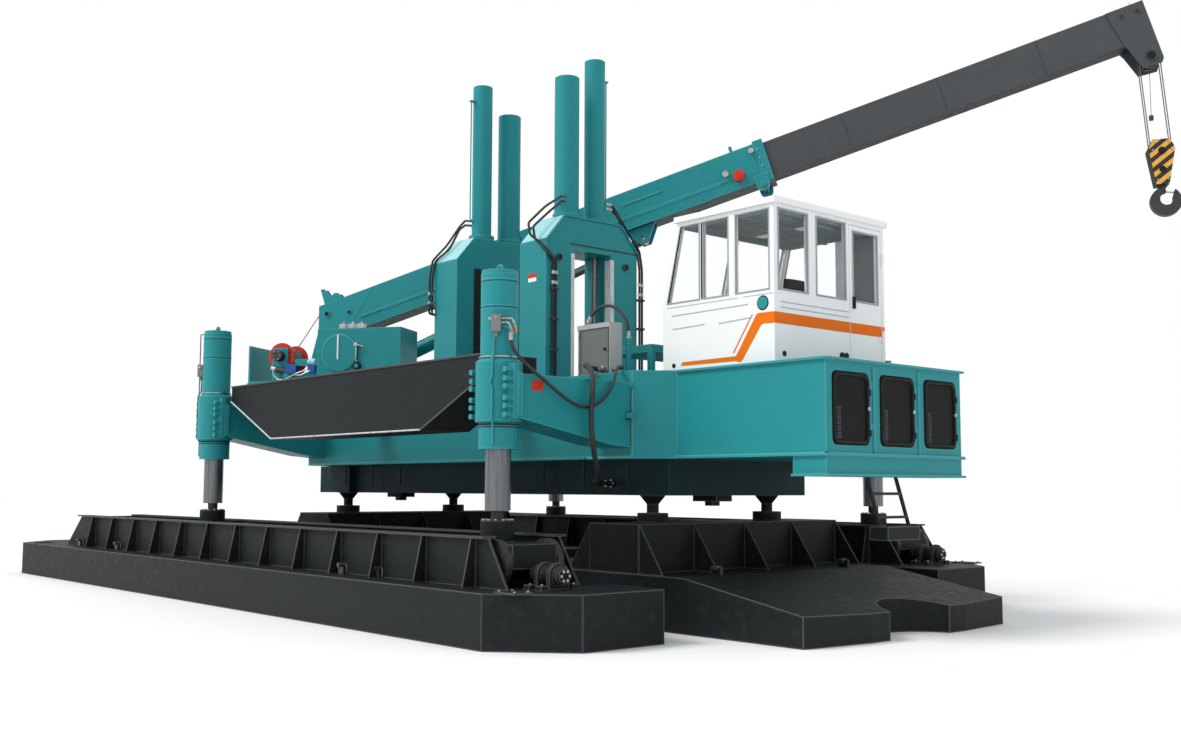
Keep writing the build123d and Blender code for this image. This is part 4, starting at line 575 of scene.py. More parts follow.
def second_paint(name, material, chosen):
    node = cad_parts[name]
    node.data.materials.append(material)
    for face in node.data.polygons:
        if chosen(node.matrix_world @ face.center, node.matrix_world.to_3x3() @ face.normal):
            face.material_index = 1


repaint(TEAL, "jack_barrels")
for name in ("near_jack_rods", "far_jack_rods"):
    repaint(ROD, name)
    second_paint(name, CAST, lambda centre, normal: centre.z < NECK_TOP)


def pipes(name, body, material, radius, routes, ease=4):
    rows = []
    for route in routes:
        bends = [route[0]]
        for before, corner, after in zip(route, route[1:], route[2:]):
            reach = min(ease * radius, (corner - before).length * 0.4, (after - corner).length * 0.4)
            bends.append(corner + (before - corner).normalized() * reach)
            bends.append(corner)
            bends.append(corner + (after - corner).normalized() * reach)
        rows.append([*bends, route[-1]])
    run = linked(name + "_line", round_line(name, radius, 3, 5, rows))
    ready = bpy.context.evaluated_depsgraph_get()
    mesh = bpy.data.meshes.new_from_object(run.evaluated_get(ready))
    bpy.data.objects.remove(run)
    mesh.materials.clear()
    mesh.materials.append(material)
    for face in mesh.polygons:
        face.use_smooth = True
    return placed(name, mesh, body)


def joined(steel, rows):
    for one, two in zip(rows, rows[1:] + rows[:1]):
        for k in range(len(one)):
            j = (k + 1) % len(one)
            steel.faces.new((one[k], one[j], two[j], two[k]))


def collar(steel, foot, height, inner, outer, sides=72):
    rows = []
    for radius, lift in ((inner, 0.0), (outer, 0.0), (outer, height), (inner, height)):
        row = []
        for k in range(sides):
            turn = 2 * math.pi * k / sides
            edge = Vector((radius * math.cos(turn), radius * math.sin(turn), lift))
            row.append(steel.verts.new(foot + edge))
        rows.append(row)
    joined(steel, rows)


rings, bright_rings, dark_rings, valves, plugs, unions, clips = (bmesh.new() for _ in range(7))
routes, drains, head_screws = [], [], []
for sx in (-1, 1):
    for sy in (-1, 1):
        x, y = sx * JACK_X, sy * JACK_Y
        for z, wide, thick in ((3.785, 0.2055, 0.016), (3.800, 0.2045, 0.006), (3.500, 0.2055, 0.014),
                               (3.462, 0.2055, 0.012)):
            collar(rings, at(x, y, z), thick, 0.190, wide)
        collar(bright_rings, at(x, y, 2.949), 0.014, 0.190, 0.221)
        for z, thick in ((3.770, 0.006), (3.488, 0.006), (2.252, 0.007), (2.200, 0.010), (2.225, 0.016)):
            collar(dark_rings, at(x, y, z), thick, 0.190, 0.2042 if z > 3 else 0.2185)
        head_screws += [(at(x + a, y + b, 3.896), Z) for a, b in around(12, 0.165, 15)]
        out = Vector((sx, sy, 0)).normalized()
        back = Vector((-sx, sy, 0)).normalized()
        valve = at(x, y, 3.305) + out * 0.241
        turned_block(valves, valve, (0.080, 0.100, 0.180), out, back)
        turned_block(valves, valve + up(-0.115), (0.034, 0.034, 0.06), out, back)
        bar(plugs, valve + back * 0.050 + up(0.045), valve + back * 0.082 + up(0.045), 0.017)
        bar(plugs, valve + out * 0.040 + up(0.055), valve + out * 0.050 + up(0.055), 0.012)
        for lift, reach, drop in ((0.048, 0.150, 0.150), (0.004, 0.110, 0.120)):
            start = valve - back * 0.048 + up(lift)
            routes.append(
                [start, start - back * (reach - 0.03), start - back * reach - up(drop * 0.45),
                 start - back * (reach + 0.012) - up(drop)]
            )
            bar(unions, start - back * 0.035, start - back * 0.062, 0.0165, sides=6)
            bar(unions, start - back * (reach + 0.004) - up(drop * 0.62),
                start - back * (reach + 0.010) - up(drop * 0.95), 0.0165, sides=6)
        side = Vector((sx * 0.60, sy * 0.80, 0))
        kink = Vector((-sx * 0.80, sy * 0.60, 0)) * 0.018
        top, low = at(x, y, 0) + side * 0.222, at(x, y, 0) + side * 0.266
        drains.append(
            [valve + up(-0.10) + back * 0.01, top + up(3.130), top + up(2.990), low + up(2.915),
             low + up(2.740), low + kink + up(2.690), low + kink + up(2.660), low + up(2.610),
             low + up(2.290), top + side * 0.004 + up(2.235), top + side * 0.004 + up(2.020)]
        )
        for z in (2.42, 2.83):
            clip = low + up(z) - side * 0.008
            turned_block(clips, clip, (0.020, 0.052, 0.014), side, (-side.y, side.x, 0))
finished(rings, "jack_rings", "machine", TEAL)
finished(bright_rings, "jack_bright_rings", "machine", PLATED)
finished(dark_rings, "jack_seals", "machine", DARK)
finished(valves, "jack_valve_covers", "machine", STONE)
finished(plugs, "jack_valve_plugs", "machine", PLATED)
finished(unions, "jack_unions", "machine", COPPER)
finished(clips, "jack_pipe_clips", "machine", TEAL)
pipes("jack_valve_pipes", "machine", PLATED, 0.0115, routes)
pipes("jack_drain_pipes", "machine", TEAL, 0.012, drains)
bolt_heads("jack_head_screws", "machine", TEAL, head_screws, 0.014, 0.010)
gauges = []
for sy in (-1, 1):
    x, y = -JACK_X, sy * JACK_Y
    gauges.append(
        [at(x - 0.120, y + sy * 0.140, 3.860), at(x - 0.235, y + sy * 0.165, 3.860),
         at(x - 0.235, y + sy * 0.165, 2.640), at(x - 0.165, y + sy * 0.150, 2.600)]
    )
pipes("rear_jack_gauge_pipes", "machine", CHARCOAL, 0.008, gauges)

# Press frames and clamp
# Two welded portals carry four press cylinders on their crosshead. Their ground rods pull the clamp
# box up and down on the pile, and hoses run up the columns to the cylinder ports.
PRESS_X, PRESS_REACH, PRESS_FACE = -0.07, 1.048, 1.333
PRESS_EDGE, OPENING = 0.849, 0.346
WHITE = enamel("white_enamel", (0.86, 0.865, 0.87), rough=0.36, dusty=0.01, spread=0.02, shine=0.4)
LINER = machined("planed_liner_steel", (0.66, 0.68, 0.69), 0.42, streak=(9.0, 9.0, 0.7), metal=0.35)
repaint(TEAL, "press_frames", "press_cylinders", "clamp_box")
repaint(ROD, "clamp_rods")
hollows, feet, brackets, ports = (bmesh.new() for _ in range(4))
routes, slim, screws = [], [], []
for x, y, wide, top in ((-1.030, -0.263, 0.150, 7.740), (-1.030, 0.263, 0.175, 7.380),
                        (0.996, -0.263, 0.175, 7.380), (0.996, 0.263, 0.150, 7.740)):
    out = 1 if x > 0 else -1
    side = -1 if y < 0 else 1
    collar(feet, at(x, y, 5.388), 0.022, 0.150, wide + 0.020, sides=56)
    collar(hollows, at(x, y, top), 0.004, wide - 0.040, wide - 0.006, sides=56)
    screws += [(at(x + a, y + b, 5.388), Z) for a, b in around(12, 0.181, 15)]
    if wide < 0.16:
        away = y + side * (wide + 0.068)
        slim.append(
            [at(x, y + side * (wide - 0.004), top - 0.245), at(x, away, top - 0.240),
             at(x, away, 5.650), at(x + out * 0.02, y + side * (wide - 0.004), 5.600)]
        )
        block(brackets, (x - 0.030, y + side * (wide - 0.006), top - 0.262),
              (x + 0.030, away + side * 0.022, top - 0.240))
    for lift, shift in ((0.225, 0.0), (0.155, 0.05)):
        start = at(x + out * 0.112, y + side * (wide - 0.041), 5.42 + lift)
        edge = side * (0.930 - shift)
        if out == 1 and side == -1:
            union = Vector((0.020, -0.048, -0.012))
            run = [
                (1.065 + shift * 0.5, -0.700 + shift * 0.8, 5.455 - shift * 1.6),
                (1.005 + shift * 0.9, -0.955 + shift, 5.190 - shift),
                (1.085 + shift * 0.7, -0.985 + shift * 1.1, 5.010 - shift),
                (1.220 + shift * 0.4, -0.915 + shift * 0.3, 4.890 - shift),
                (1.312, -0.845 + shift * 0.4, 4.770 - shift),
                (1.290, -0.690 - shift, 4.660), (1.290, -0.690 - shift, 4.400), (1.290, -0.690 - shift, 2.960),
            ]
        else:
            union = Vector((out * 0.010, side * 0.110, -0.006))
            corner = PRESS_X + out * 1.359
            run = [
                (x + out * 0.150, y + side * (wide + 0.155), 5.40 + lift * 0.6),
                (x + out * 0.205, side * (0.760 - shift), 5.225 - shift),
                (PRESS_X + out * 1.335, side * (0.900 - shift), 5.000),
                (corner, edge, 4.720), (corner, edge, 4.400),
            ]
            run += [(corner, edge, 2.960)] if out == 1 else [(corner, edge, 4.190), (-1.390, side * 0.800, 4.160)]
        routes.append([start + union] + [at(*spot) for spot in run])
        bar(ports, start, start + union, 0.019, sides=12)
finished(hollows, "press_cap_rims", "machine", TEAL)
finished(feet, "press_foot_rings", "machine", TEAL)
finished(brackets, "press_pipe_brackets", "machine", TEAL)
finished(ports, "press_port_unions", "machine", PLATED)
bolt_heads("press_screws", "machine", TEAL, screws, 0.016, 0.014)
pipes("press_pipes", "machine", CHARCOAL, 0.017, routes, ease=14)
pipes("press_slim_pipes", "machine", TEAL, 0.010, slim)
seam, flanges, shoulder_sheen, clips, nuts, bosses, liners = (bmesh.new() for _ in range(7))
foot_spots = []
for end in (-1, 1):
    x = PRESS_X + end * PRESS_REACH
    face = PRESS_X + end * PRESS_FACE
    block(seam, (x + end * 0.284, -0.420, 4.924), (x + end * 0.288, 0.848, 4.946))
    proud = x + end * 0.297
    turned_block(flanges, at(proud, 0, 5.320), (0.026, 1.06, 0.016), (1, 0, 0), (0, 1, 0))
    for side in (-1, 1):
        incline = Vector((0, side * 0.323, -0.378)).normalized()
        square_out = Vector((0, side * 0.378, 0.323)).normalized()
        shoulder = at(x, side * 0.6875, 5.139) + square_out * 0.002
        turned_block(flanges, at(proud, side * 0.6855, 5.136), (0.026, 0.500, 0.016), (1, 0, 0), incline)
        # A thin pale teal plate on each sloped shoulder: painted sheen where light catches the slope.
        turned_block(shoulder_sheen, shoulder, (0.550, 0.470, 0.006), (1, 0, 0), incline)
        on_face = end == 1 and side == -1
        run_y = side * (0.715 if on_face else 0.905)
        inner = face - (0 if on_face else end * 0.020)
        for z in (3.417, 3.840, 4.257)[0 if end == 1 else 2:]:
            block(clips, (inner, run_y - 0.060, z), (face + end * 0.050, run_y + 0.060, z + 0.030))
        for z in (4.33, 4.47):
            for y in (-0.025, 0.025):
                foot = at(face + end * 0.026, run_y + y, z)
                bar(nuts, foot, foot + up(0.045), 0.025, sides=6)
        bar(bosses, at(face, side * 0.620, 4.722), at(face + end * 0.030, side * 0.620, 4.722), 0.048, sides=32)
        block(liners, (x + end * 0.165, side * OPENING, 2.95), (x + end * 0.285, side * 0.335, 4.80))
        block(liners, (x + end * 0.285, side * OPENING, 2.95), (x + end * 0.289, side * 0.400, 4.80))
        for y in (0.40, 0.50, 0.60, 0.70, 0.80):
            foot_spots.append((at(PRESS_X + end * (PRESS_REACH + 0.235), side * y, 2.918), Z))
finished(seam, "press_crosshead_seams", "machine", CHARCOAL)
finished(flanges, "press_crosshead_flanges", "machine", TEAL)
finished(shoulder_sheen, "press_shoulder_painted_sheen", "machine", PALE_TEAL)
# Black strips on the rear frame's front face beside the opening: painted shade for the dark gap there.
painted_gap_shade = [((-0.834, side * 0.529, 2.960), (-0.820, side * 0.418, 4.850)) for side in (-1, 1)]
blocks("rear_frame_hose_cover", "machine", DARK, "charcoal_paint", *painted_gap_shade)
finished(clips, "press_pipe_clips", "machine", CHARCOAL)
finished(nuts, "press_pipe_unions", "machine", PLATED)
finished(bosses, "press_column_bosses", "machine", CHARCOAL)
for colour, material, low, high in (("white", WHITE, 4.385, 4.440), ("red", RED, 4.440, 4.499)):
    tag = ((0.885, -0.852, low), (1.062, -PRESS_EDGE, high))
    blocks("press_blank_tag_" + colour, "machine", material, colour + "_paint", tag)
finished(liners, "press_column_liners", "machine", LINER)
bolt_heads("press_foot_bolts", "machine", TEAL, foot_spots, 0.018, 0.016)
spots = [
    (at(x, side * 0.78, z), (0, side, 0))
    for side in (-1, 1) for x in (-0.65, -0.35, 0.21, 0.51) for z in (1.65, 2.05, 2.55, 3.05)
]
spots += [(at(PRESS_X + a, b, 3.15), Z) for a, b in around(16, 0.40, 11)]
bolt_heads("clamp_bolts", "clamp", PLATED, spots, 0.018, 0.014)

# Counterweight trays
# Open troughs of bent plate hung between the jacks on each side, sprayed dark. They are empty, as the
# blocks come with the job.
repaint(CHARCOAL, "weight_trays")
GREY = enamel("dark_grey_enamel", (0.105, 0.118, 0.128), rough=0.45)
RIM = machined("pale_tray_edge", (0.60, 0.61, 0.61), 0.5, streak=(2.0, 2.0, 2.0), metal=0.2)
# The rear and bottom bend lines of each tray are pale bars, the front ones dark grey.
bright_edges, dull_edges = bmesh.new(), bmesh.new()
for y in (-3.246, 3.246):
    rear, low_rear, low_front, front = (
        at(x, y, z) for x, z in ((-3.19, 2.823), (-1.89, 2.240), (1.89, 2.240), (3.19, 2.823))
    )
    bar(bright_edges, rear, low_rear, 0.011, sides=8)
    bar(bright_edges, low_rear, low_front, 0.011, sides=8)
    bar(dull_edges, low_front, front, 0.009, sides=8)
finished(dull_edges, "tray_front_edges", "machine", GREY)
finished(bright_edges, "tray_lower_edges", "machine", RIM)
rims = [((-3.19, way * 3.254, 3.030), (3.19, way * 3.190, 3.052)) for way in (-1, 1)]
blocks("tray_rims", "machine", CHARCOAL, "charcoal_paint", *rims)

# Front platform
# A welded box hung on the body's end, with the pumps and the motor behind three black doors. Each door
# has a thick rubber seal, pressed louvres and a turn latch, and a bright strip edges the step below.
BLACK = enamel("black_enamel", (0.004, 0.004, 0.0045), rough=0.45, dusty=0.015, coat=0.0, shine=0.12)
repaint(TEAL, "front_platform")
repaint(GREY, "power_pack")
repaint(CHARCOAL, "boarding_ladder")
repaint(BLACK, "platform_door_near", "platform_door_middle", "platform_door_far")
FRONT = 6.272
strips = [((3.83, y * 1.236, 1.904), (6.296, y * 1.262, 1.938)) for y in (-1, 1)]
strips += [((FRONT, -1.262, 1.904), (6.296, 1.262, 1.938)), ((FRONT, -1.236, 1.697), (6.284, 1.236, 1.722))]
blocks("platform_edge_strips", "machine", LIGHT_TEAL, "teal_paint", *strips)
seams = [((FRONT, y - 0.018, 1.95), (FRONT + 0.010, y + 0.018, 2.86)) for y in (-0.425, 0.400)]
blocks("platform_seams", "machine", TEAL, "teal_paint", *seams)

# One group of nodes lays tipped slats in a row.
slat_group, given = new_group(
    "slat_row",
    {"Start": "Geometry", "Count": "Int", "Step": "Vector", "First": "Vector", "Size": "Vector", "Tip": "Float"},
)
line_feeds = {"Count": given["Count"], "Start Location": given["First"], "Offset": given["Step"]}
run = add(slat_group, "GeometryNodeMeshLine", line_feeds)
slat = add(slat_group, "GeometryNodeMeshCube", {"Size": given["Size"]}).outputs["Mesh"]
lean = add(slat_group, "ShaderNodeCombineXYZ", {"Y": given["Tip"]}).outputs["Vector"]
tipped = add(slat_group, "GeometryNodeTransform", {"Geometry": slat, "Rotation": lean}).outputs["Geometry"]
slats = add(slat_group, "GeometryNodeInstanceOnPoints", {"Points": run.outputs["Mesh"], "Instance": tipped})
close_group(slat_group, given, slats.outputs["Instances"])
SEAL_HALF, SEAL_LOW, SEAL_HIGH, SEAL_CORNER = 0.306, 2.026, 2.774, 0.085
for name, y in (("near", -0.818), ("middle", 0.0), ("far", 0.818)):
    body = "door_" + name
    reach, low, high = SEAL_HALF - SEAL_CORNER, SEAL_LOW + SEAL_CORNER, SEAL_HIGH - SEAL_CORNER
    outline = []
    for cy, cz, start in ((reach, high, 0), (-reach, high, 90), (-reach, low, 180), (reach, low, 270)):
        for k in range(7):
            turn = math.radians(start + 15 * k)
            outline.append((y + cy + SEAL_CORNER * math.cos(turn), cz + SEAL_CORNER * math.sin(turn)))
    seal = bmesh.new()
    rows = []
    for shrink, proud in ((0.0, 0.0), (0.010, 0.020), (0.040, 0.020), (0.050, 0.0)):
        row = []
        for py, pz in outline:
            way = Vector((py - y, pz - (SEAL_LOW + SEAL_HIGH) / 2)).normalized()
            row.append(seal.verts.new(at(FRONT + proud, py - way.x * shrink, pz - way.y * shrink)))
        rows.append(row)
    joined(seal, rows)
    finished(seal, f"door_{name}_seal", body, DARK)
    louvres = {"Count": 14, "Step": (0, 0, 0.024), "Size": (0.012, 0.064, 0.005), "Tip": 0.7,
               "First": tuple(at(FRONT + 0.003, y - 0.210, 2.092))}
    start = bpy.data.meshes.new(f"door_{name}_louvre_start")
    made_by(slat_group, f"door_{name}_louvres", start, louvres, body, GREY)
    latch = bmesh.new()
    bar(latch, at(FRONT, y + 0.290, 2.406), at(FRONT + 0.022, y + 0.290, 2.406), 0.022)
    block(latch, (FRONT + 0.016, y + 0.262, 2.396), (FRONT + 0.028, y + 0.302, 2.416))
    finished(latch, f"door_{name}_latch", body, PLATED)

# Cab
# A sheet-steel cab in white enamel on the body's end, with clear panes in pale rubber channels. An
# orange band turns round its near corner and runs off along the sill.
repaint(WHITE, "cab_shell", "cab_roof", "cab_door")
GLASS, tree, shader = new_material("tinted_pane")
feed(tree, shader, {
    "Base Color": (0.992, 1.0, 0.998, 1),
    "Transmission Weight": 1.0,
    "IOR": 1.05,
    "Roughness": spanned(tree, noise(tree, own_place(tree), 3.0), 0.0, 1.0, 0.0, 0.012),
})
repaint(GLASS, "cab_glass")
ORANGE = enamel(
    "orange_enamel", (0.80, 0.165, 0.006), rough=0.45, dusty=0.0, coat=0.0, spread=0.04, shine=0.1
)
# Pale grey for the cab's pressed lines: painted shade in the pressings.
PRESSED_LINE_SHADE = enamel("pressed_line_painted_shade", (0.56, 0.57, 0.60), rough=0.4, dusty=0.0, spread=0.02)
CHANNEL = enamel("pale_window_channel", (0.34, 0.40, 0.42), rough=0.5, dusty=0.0, coat=0.0)
HEADLINING = enamel("headlining", (0.30, 0.325, 0.33), rough=0.8, coat=0.0, dusty=0.05)
NEAR, END, REAR = -1.008, 5.417, 3.690
SILL, HEAD = 3.750, 4.650
BAND_LOW, BAND_HIGH = 3.367, 3.493


def sheet_side(steel, outline):
    back = [steel.verts.new(at(px, NEAR, pz)) for px, pz in outline]
    face = [steel.verts.new(at(px, NEAR - 0.002, pz)) for px, pz in outline]
    steel.faces.new(face)
    steel.faces.new(back[::-1])
    for k in range(len(outline)):
        j = (k + 1) % len(outline)
        steel.faces.new((back[k], back[j], face[j], face[k]))


band = bmesh.new()
sheet_side(band, ((5.417, 3.493), (5.178, 3.497), (5.150, 3.478), (4.850, 3.044), (4.010, 3.037),
                  (3.985, 2.994), (4.850, 2.988), (4.905, 2.968), (4.945, 2.990), (5.220, 3.355),
                  (5.250, 3.372), (5.417, 3.367)))
sheet_side(band, ((5.106, 3.490), (5.086, 3.490), (4.800, 3.081), (4.824, 3.081)))
block(band, (END, NEAR - 0.002, BAND_LOW), (END + 0.002, 0.335, BAND_HIGH))
block(band, (END, 0.955, BAND_LOW), (END + 0.002, 1.008, BAND_HIGH))
finished(band, "cab_band", "machine", ORANGE)
door_band = ((END, 0.345, BAND_LOW), (END + 0.002, 0.940, BAND_HIGH))
blocks("cab_door_band", "door_cab", ORANGE, "red_paint", door_band)
# The pressed lines on the white cab are grey bars: painted shade in the pressings.
swages = [
    (at(x0, NEAR, z0), at(x1, NEAR, z1), wide)
    for x0, x1, z0, z1, wide in (
        (3.842, 5.034, 3.600, 3.612, 0.008), (3.855, 4.365, 3.440, 3.452, 0.008),
        (4.592, 5.088, 3.440, 3.460, 0.008), (3.760, 4.880, 3.700, 3.700, 0.006),
        (4.960, 5.400, 3.700, 3.700, 0.006))
]
swages += [(at(END, -0.90, z), at(END, 0.30, z), 0.008) for z in (3.612, 3.550)]
bars("cab_swages", "machine", PRESSED_LINE_SHADE, "white_paint", *swages, sides=10)


def gasket(steel, corners, thick):
    for start, stop in zip(corners, corners[1:] + corners[:1]):
        past = (stop - start).normalized() * thick * 0.8
        bar(steel, start - past, stop + past, thick, sides=8)


gaskets = bmesh.new()
for y in (NEAR, -NEAR):
    for low_x, high_x, front_x in ((0.070, 0.295, 0.600), (0.660, 0.660, 1.050), (1.160, 1.160, 1.655)):
        corners = [(low_x, SILL), (front_x, SILL), (front_x, HEAD), (high_x, HEAD)]
        gasket(gaskets, [at(REAR + x, y, z) for x, z in corners], 0.010)
for y0, y1 in ((-0.940, -0.430), (-0.275, 0.260)):
    gasket(gaskets, [at(END, y0, SILL), at(END, y1, SILL), at(END, y1, HEAD), at(END, y0, HEAD)], 0.012)
x0, x1 = (REAR + 0.250 * rise / 0.986 for rise in (0.036, 0.936))
for y0, y1 in ((-0.930, -0.040), (0.040, 0.930)):
    gasket(gaskets, [at(x0, y0, SILL), at(x0, y1, SILL), at(x1, y1, HEAD), at(x1, y0, HEAD)], 0.012)
finished(gaskets, "cab_gaskets", "machine", CHANNEL)
slot_bar = bmesh.new()
block(slot_bar, (4.318, NEAR - 0.006, SILL), (4.345, NEAR + 0.02, HEAD))
bar(slot_bar, at(3.768, NEAR + 0.004, SILL), at(3.992, NEAR + 0.004, HEAD), 0.009, sides=8)
finished(slot_bar, "cab_window_slot", "machine", DARK)
seal = bmesh.new()
gasket(seal, [at(END, y, z) for y, z in ((0.400, SILL), (0.880, SILL), (0.880, 4.58), (0.400, 4.58))], 0.012)
finished(seal, "cab_door_gasket", "door_cab", CHANNEL)
handle = ((END, 0.385, 3.66), (END + 0.022, 0.425, 3.80))
blocks("cab_door_handle", "door_cab", DARK, "black_paint", handle)
for name, material, slot, proud, wide in (("cab_badge_rim", DARK, "black_paint", 0.003, 0.083),
                                          ("cab_blank_badge", TEAL, "teal_paint", 0.005, 0.068)):
    disc = (at(5.250, NEAR, 3.603), at(5.250, NEAR - proud, 3.603), wide)
    bars(name, "machine", material, slot, disc, sides=48)
lamps = [((END + 0.020, y - 0.09, 4.715), (END + 0.033, y + 0.09, 4.765)) for y in (-0.75, 0.75)]
blocks("cab_roof_lamps", "machine", GREY, "black_paint", *lamps)
plugs = [(at(3.87, NEAR, 3.005), at(3.87, NEAR - 0.008, 3.005), 0.026),
         (at(END, -0.853, 3.040), at(END + 0.008, -0.853, 3.040), 0.030)]
plugs += [(at(END, y, 3.090), at(END + 0.012, y, 3.090), 0.040) for y in (0.17, 0.25)]
bars("cab_plugs", "machine", DARK, "black_paint", *plugs)
lining = [((4.02, -0.955, 4.62), (5.36, 0.955, 4.66)), ((3.78, -0.95, 2.972), (5.36, 0.95, 2.985)),
          ((4.84, 0.966, 3.74), (5.36, 0.982, 4.66))]
lining += [((x - 0.02, -0.93, 4.600), (x + 0.02, 0.93, 4.625)) for x in (4.32, 4.62, 4.92, 5.22)]
blocks("cab_lining", "machine", HEADLINING, "desk_plastic", *lining)
lights = [((x - 0.10, -0.06, 4.605), (x + 0.10, 0.06, 4.622)) for x in (4.40, 5.00)]
blocks("cab_inner_lamps", "machine", WHITE, "white_paint", *lights)

# Seat and desk
# The operator's seat has foam cushions under a woven cover, sewn at the edges, on a steel post. The
# desk in front of it has a moulded top.
CLOTH, tree, shader = new_material("woven_seat_cover")
weave = add(tree, "ShaderNodeTexWave", {"Vector": own_place(tree), "Scale": 90.0}).outputs["Fac"]
feed(tree, shader, {
    "Base Color": ramp(tree, weave, (0.018, 0.018, 0.020), (0.050, 0.050, 0.056)),
    "Normal": bumped(tree, weave, 0.3, 0.001),
    "Roughness": 0.9,
})
PLASTIC = enamel("moulded_desk_plastic", (0.045, 0.045, 0.048), rough=0.6, coat=0.0, dusty=0.06)
repaint(PLASTIC, "cab_console")
SEAT_X, CAB_FLOOR = 4.717, 2.968


def cushion(name, low, high, crown, face):
    pad = bmesh.new()
    low, high = at(*low), at(*high)
    bmesh.ops.create_cube(pad, size=2.0)
    bmesh.ops.subdivide_edges(pad, edges=pad.edges[:], cuts=14, use_grid_fill=True)
    centre, half = (low + high) / 2, (high - low) / 2
    wide, tall = (k for k in range(3) if k != face)
    for corner in pad.verts:
        a, b, c = corner.co[wide], corner.co[tall], corner.co[face]
        pinch = 1 - 0.035 * (abs(a * b) ** 3)
        swell = (1 - a ** 4) * (1 - b ** 4)
        channel = 0.006 * math.exp(-((abs(a) - 0.55) / 0.05) ** 2)
        soft = 1 - 0.05 * (c ** 2)
        spot = centre.copy()
        spot[wide] += a * half[wide] * pinch * soft
        spot[tall] += b * half[tall] * pinch * soft
        spot[face] += c * (half[face] - crown + crown * swell) - math.copysign(channel, c)
        corner.co = spot
    return finished(pad, name, "machine", CLOTH)


base = cushion(
    "seat_cushion", (SEAT_X - 0.24, -0.24, CAB_FLOOR + 0.352), (SEAT_X + 0.236, 0.24, CAB_FLOOR + 0.468), 0.030, 2
)
back = cushion(
    "seat_back", (SEAT_X + 0.142, -0.23, CAB_FLOOR + 0.470), (SEAT_X + 0.238, 0.23, CAB_FLOOR + 1.048), 0.022, 0
)
foot = at(SEAT_X, 0, CAB_FLOOR)
post = ((foot, at(SEAT_X, 0, CAB_FLOOR + 0.352), 0.088), (foot, at(SEAT_X, 0, CAB_FLOOR + 0.02), 0.14))
bars("seat_post", "machine", PLASTIC, "desk_plastic", *post, sides=40)
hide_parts("cab_seat")
piping = bmesh.new()
edge = [(-0.228, -0.228), (0.224, -0.228), (0.224, 0.228), (-0.228, 0.228)]
gasket(piping, [at(SEAT_X + x, y, CAB_FLOOR + 0.41) for x, y in edge], 0.005)
finished(piping, "seat_piping", "machine", DARK)

# Electric cabinet
# A powder-coated switch cabinet on the deck, with a framed door, two hinges and a turn lock. Its cables
# leave through glands at the top.
LIGHT_GREY = enamel("cabinet_powder_coat", (0.150, 0.158, 0.158), rough=0.5, coat=0.0, spread=0.05)
PALE_GREY = enamel("cabinet_frame_grey", (0.42, 0.43, 0.43), rough=0.5, coat=0.0, spread=0.04)
repaint(LIGHT_GREY, "electric_cabinet")
BOX_LEFT, BOX_RIGHT, BOX_LOW, BOX_TOP, BOX_FACE = 2.59, 3.18, 2.918, 3.560, -1.400
trim = [
    ((BOX_LEFT + 0.03, BOX_FACE - 0.010, z), (BOX_RIGHT - 0.03, BOX_FACE, z + 0.02))
    for z in (BOX_LOW + 0.03, BOX_TOP - 0.05)
]
trim += [
    ((x, BOX_FACE - 0.010, BOX_LOW + 0.03), (x + 0.02, BOX_FACE, BOX_TOP - 0.03))
    for x in (BOX_LEFT + 0.03, BOX_RIGHT - 0.05)
]
blocks("cabinet_door_frame", "machine", LIGHT_GREY, "cabinet_paint", *trim)
hood_front, hood_back, hood_right = BOX_FACE - 0.014, BOX_FACE + 0.190, BOX_RIGHT + 0.006
blocks(
    "cabinet_hood", "machine", PALE_GREY, "cabinet_paint",
    ((BOX_LEFT - 0.006, hood_front, BOX_TOP - 0.055), (hood_right, hood_back, BOX_TOP + 0.004)),
    ((BOX_RIGHT - 0.004, hood_front, BOX_LOW + 0.004), (hood_right, hood_back, BOX_TOP - 0.055)),
)
locks = [(at(BOX_RIGHT - 0.09, BOX_FACE, 3.24), at(BOX_RIGHT - 0.09, BOX_FACE - 0.02, 3.24), 0.018)]
hinge_x, hinge_y = BOX_LEFT + 0.022, BOX_FACE - 0.008
locks += [(at(hinge_x, hinge_y, z - 0.03), at(hinge_x, hinge_y, z + 0.03), 0.008) for z in (3.06, 3.42)]
bars("cabinet_lock", "machine", DARK, "black_paint", *locks)

# Crane
# The side crane slews on its pedestal, with an oil tank, a winch and a telescopic boom. Its sections are
# welded from bent plate, and the luffing cylinder lifts it from below.
BOOM_GREY = enamel(
    "boom_grey_enamel", (0.062, 0.068, 0.072), rough=0.5, dusty=0.04, coat=0.0, spread=0.05
)
BLUE = enamel("blue_enamel", (0.016, 0.085, 0.36), rough=0.4)
ROPE = machined("wire_rope", (0.20, 0.19, 0.17), 0.5, streak=(20.0, 20.0, 60.0), depth=0.4)
repaint(TEAL, "crane_pedestal", "crane_turret", "crane_tank", "boom_base", "luff_barrel")
repaint(ROD, "luff_rod")
repaint(BOOM_GREY, "boom_extension", "boom_head")
repaint(RED, "winch_drum")
repaint(CAST, "winch_motor", "head_sheaves", "load_hook")
repaint(ROPE, "hoist_falls")
SWING, TILT = math.radians(34.0), math.radians(17.4)
PIVOT_S, PIVOT_Z = -1.351, 4.503
EAST = Vector((math.cos(SWING), math.sin(SWING), 0))
ACROSS = Vector((-math.sin(SWING), math.cos(SWING), 0))


def on_crane(s, n, z):
    return at(-JACK_X + s * math.cos(SWING) - n * math.sin(SWING), s * math.sin(SWING) + n * math.cos(SWING), z)


def on_boom(along, rise, n):
    s = PIVOT_S + along * math.cos(TILT) - rise * math.sin(TILT)
    return on_crane(s, n, PIVOT_Z + along * math.sin(TILT) + rise * math.cos(TILT))


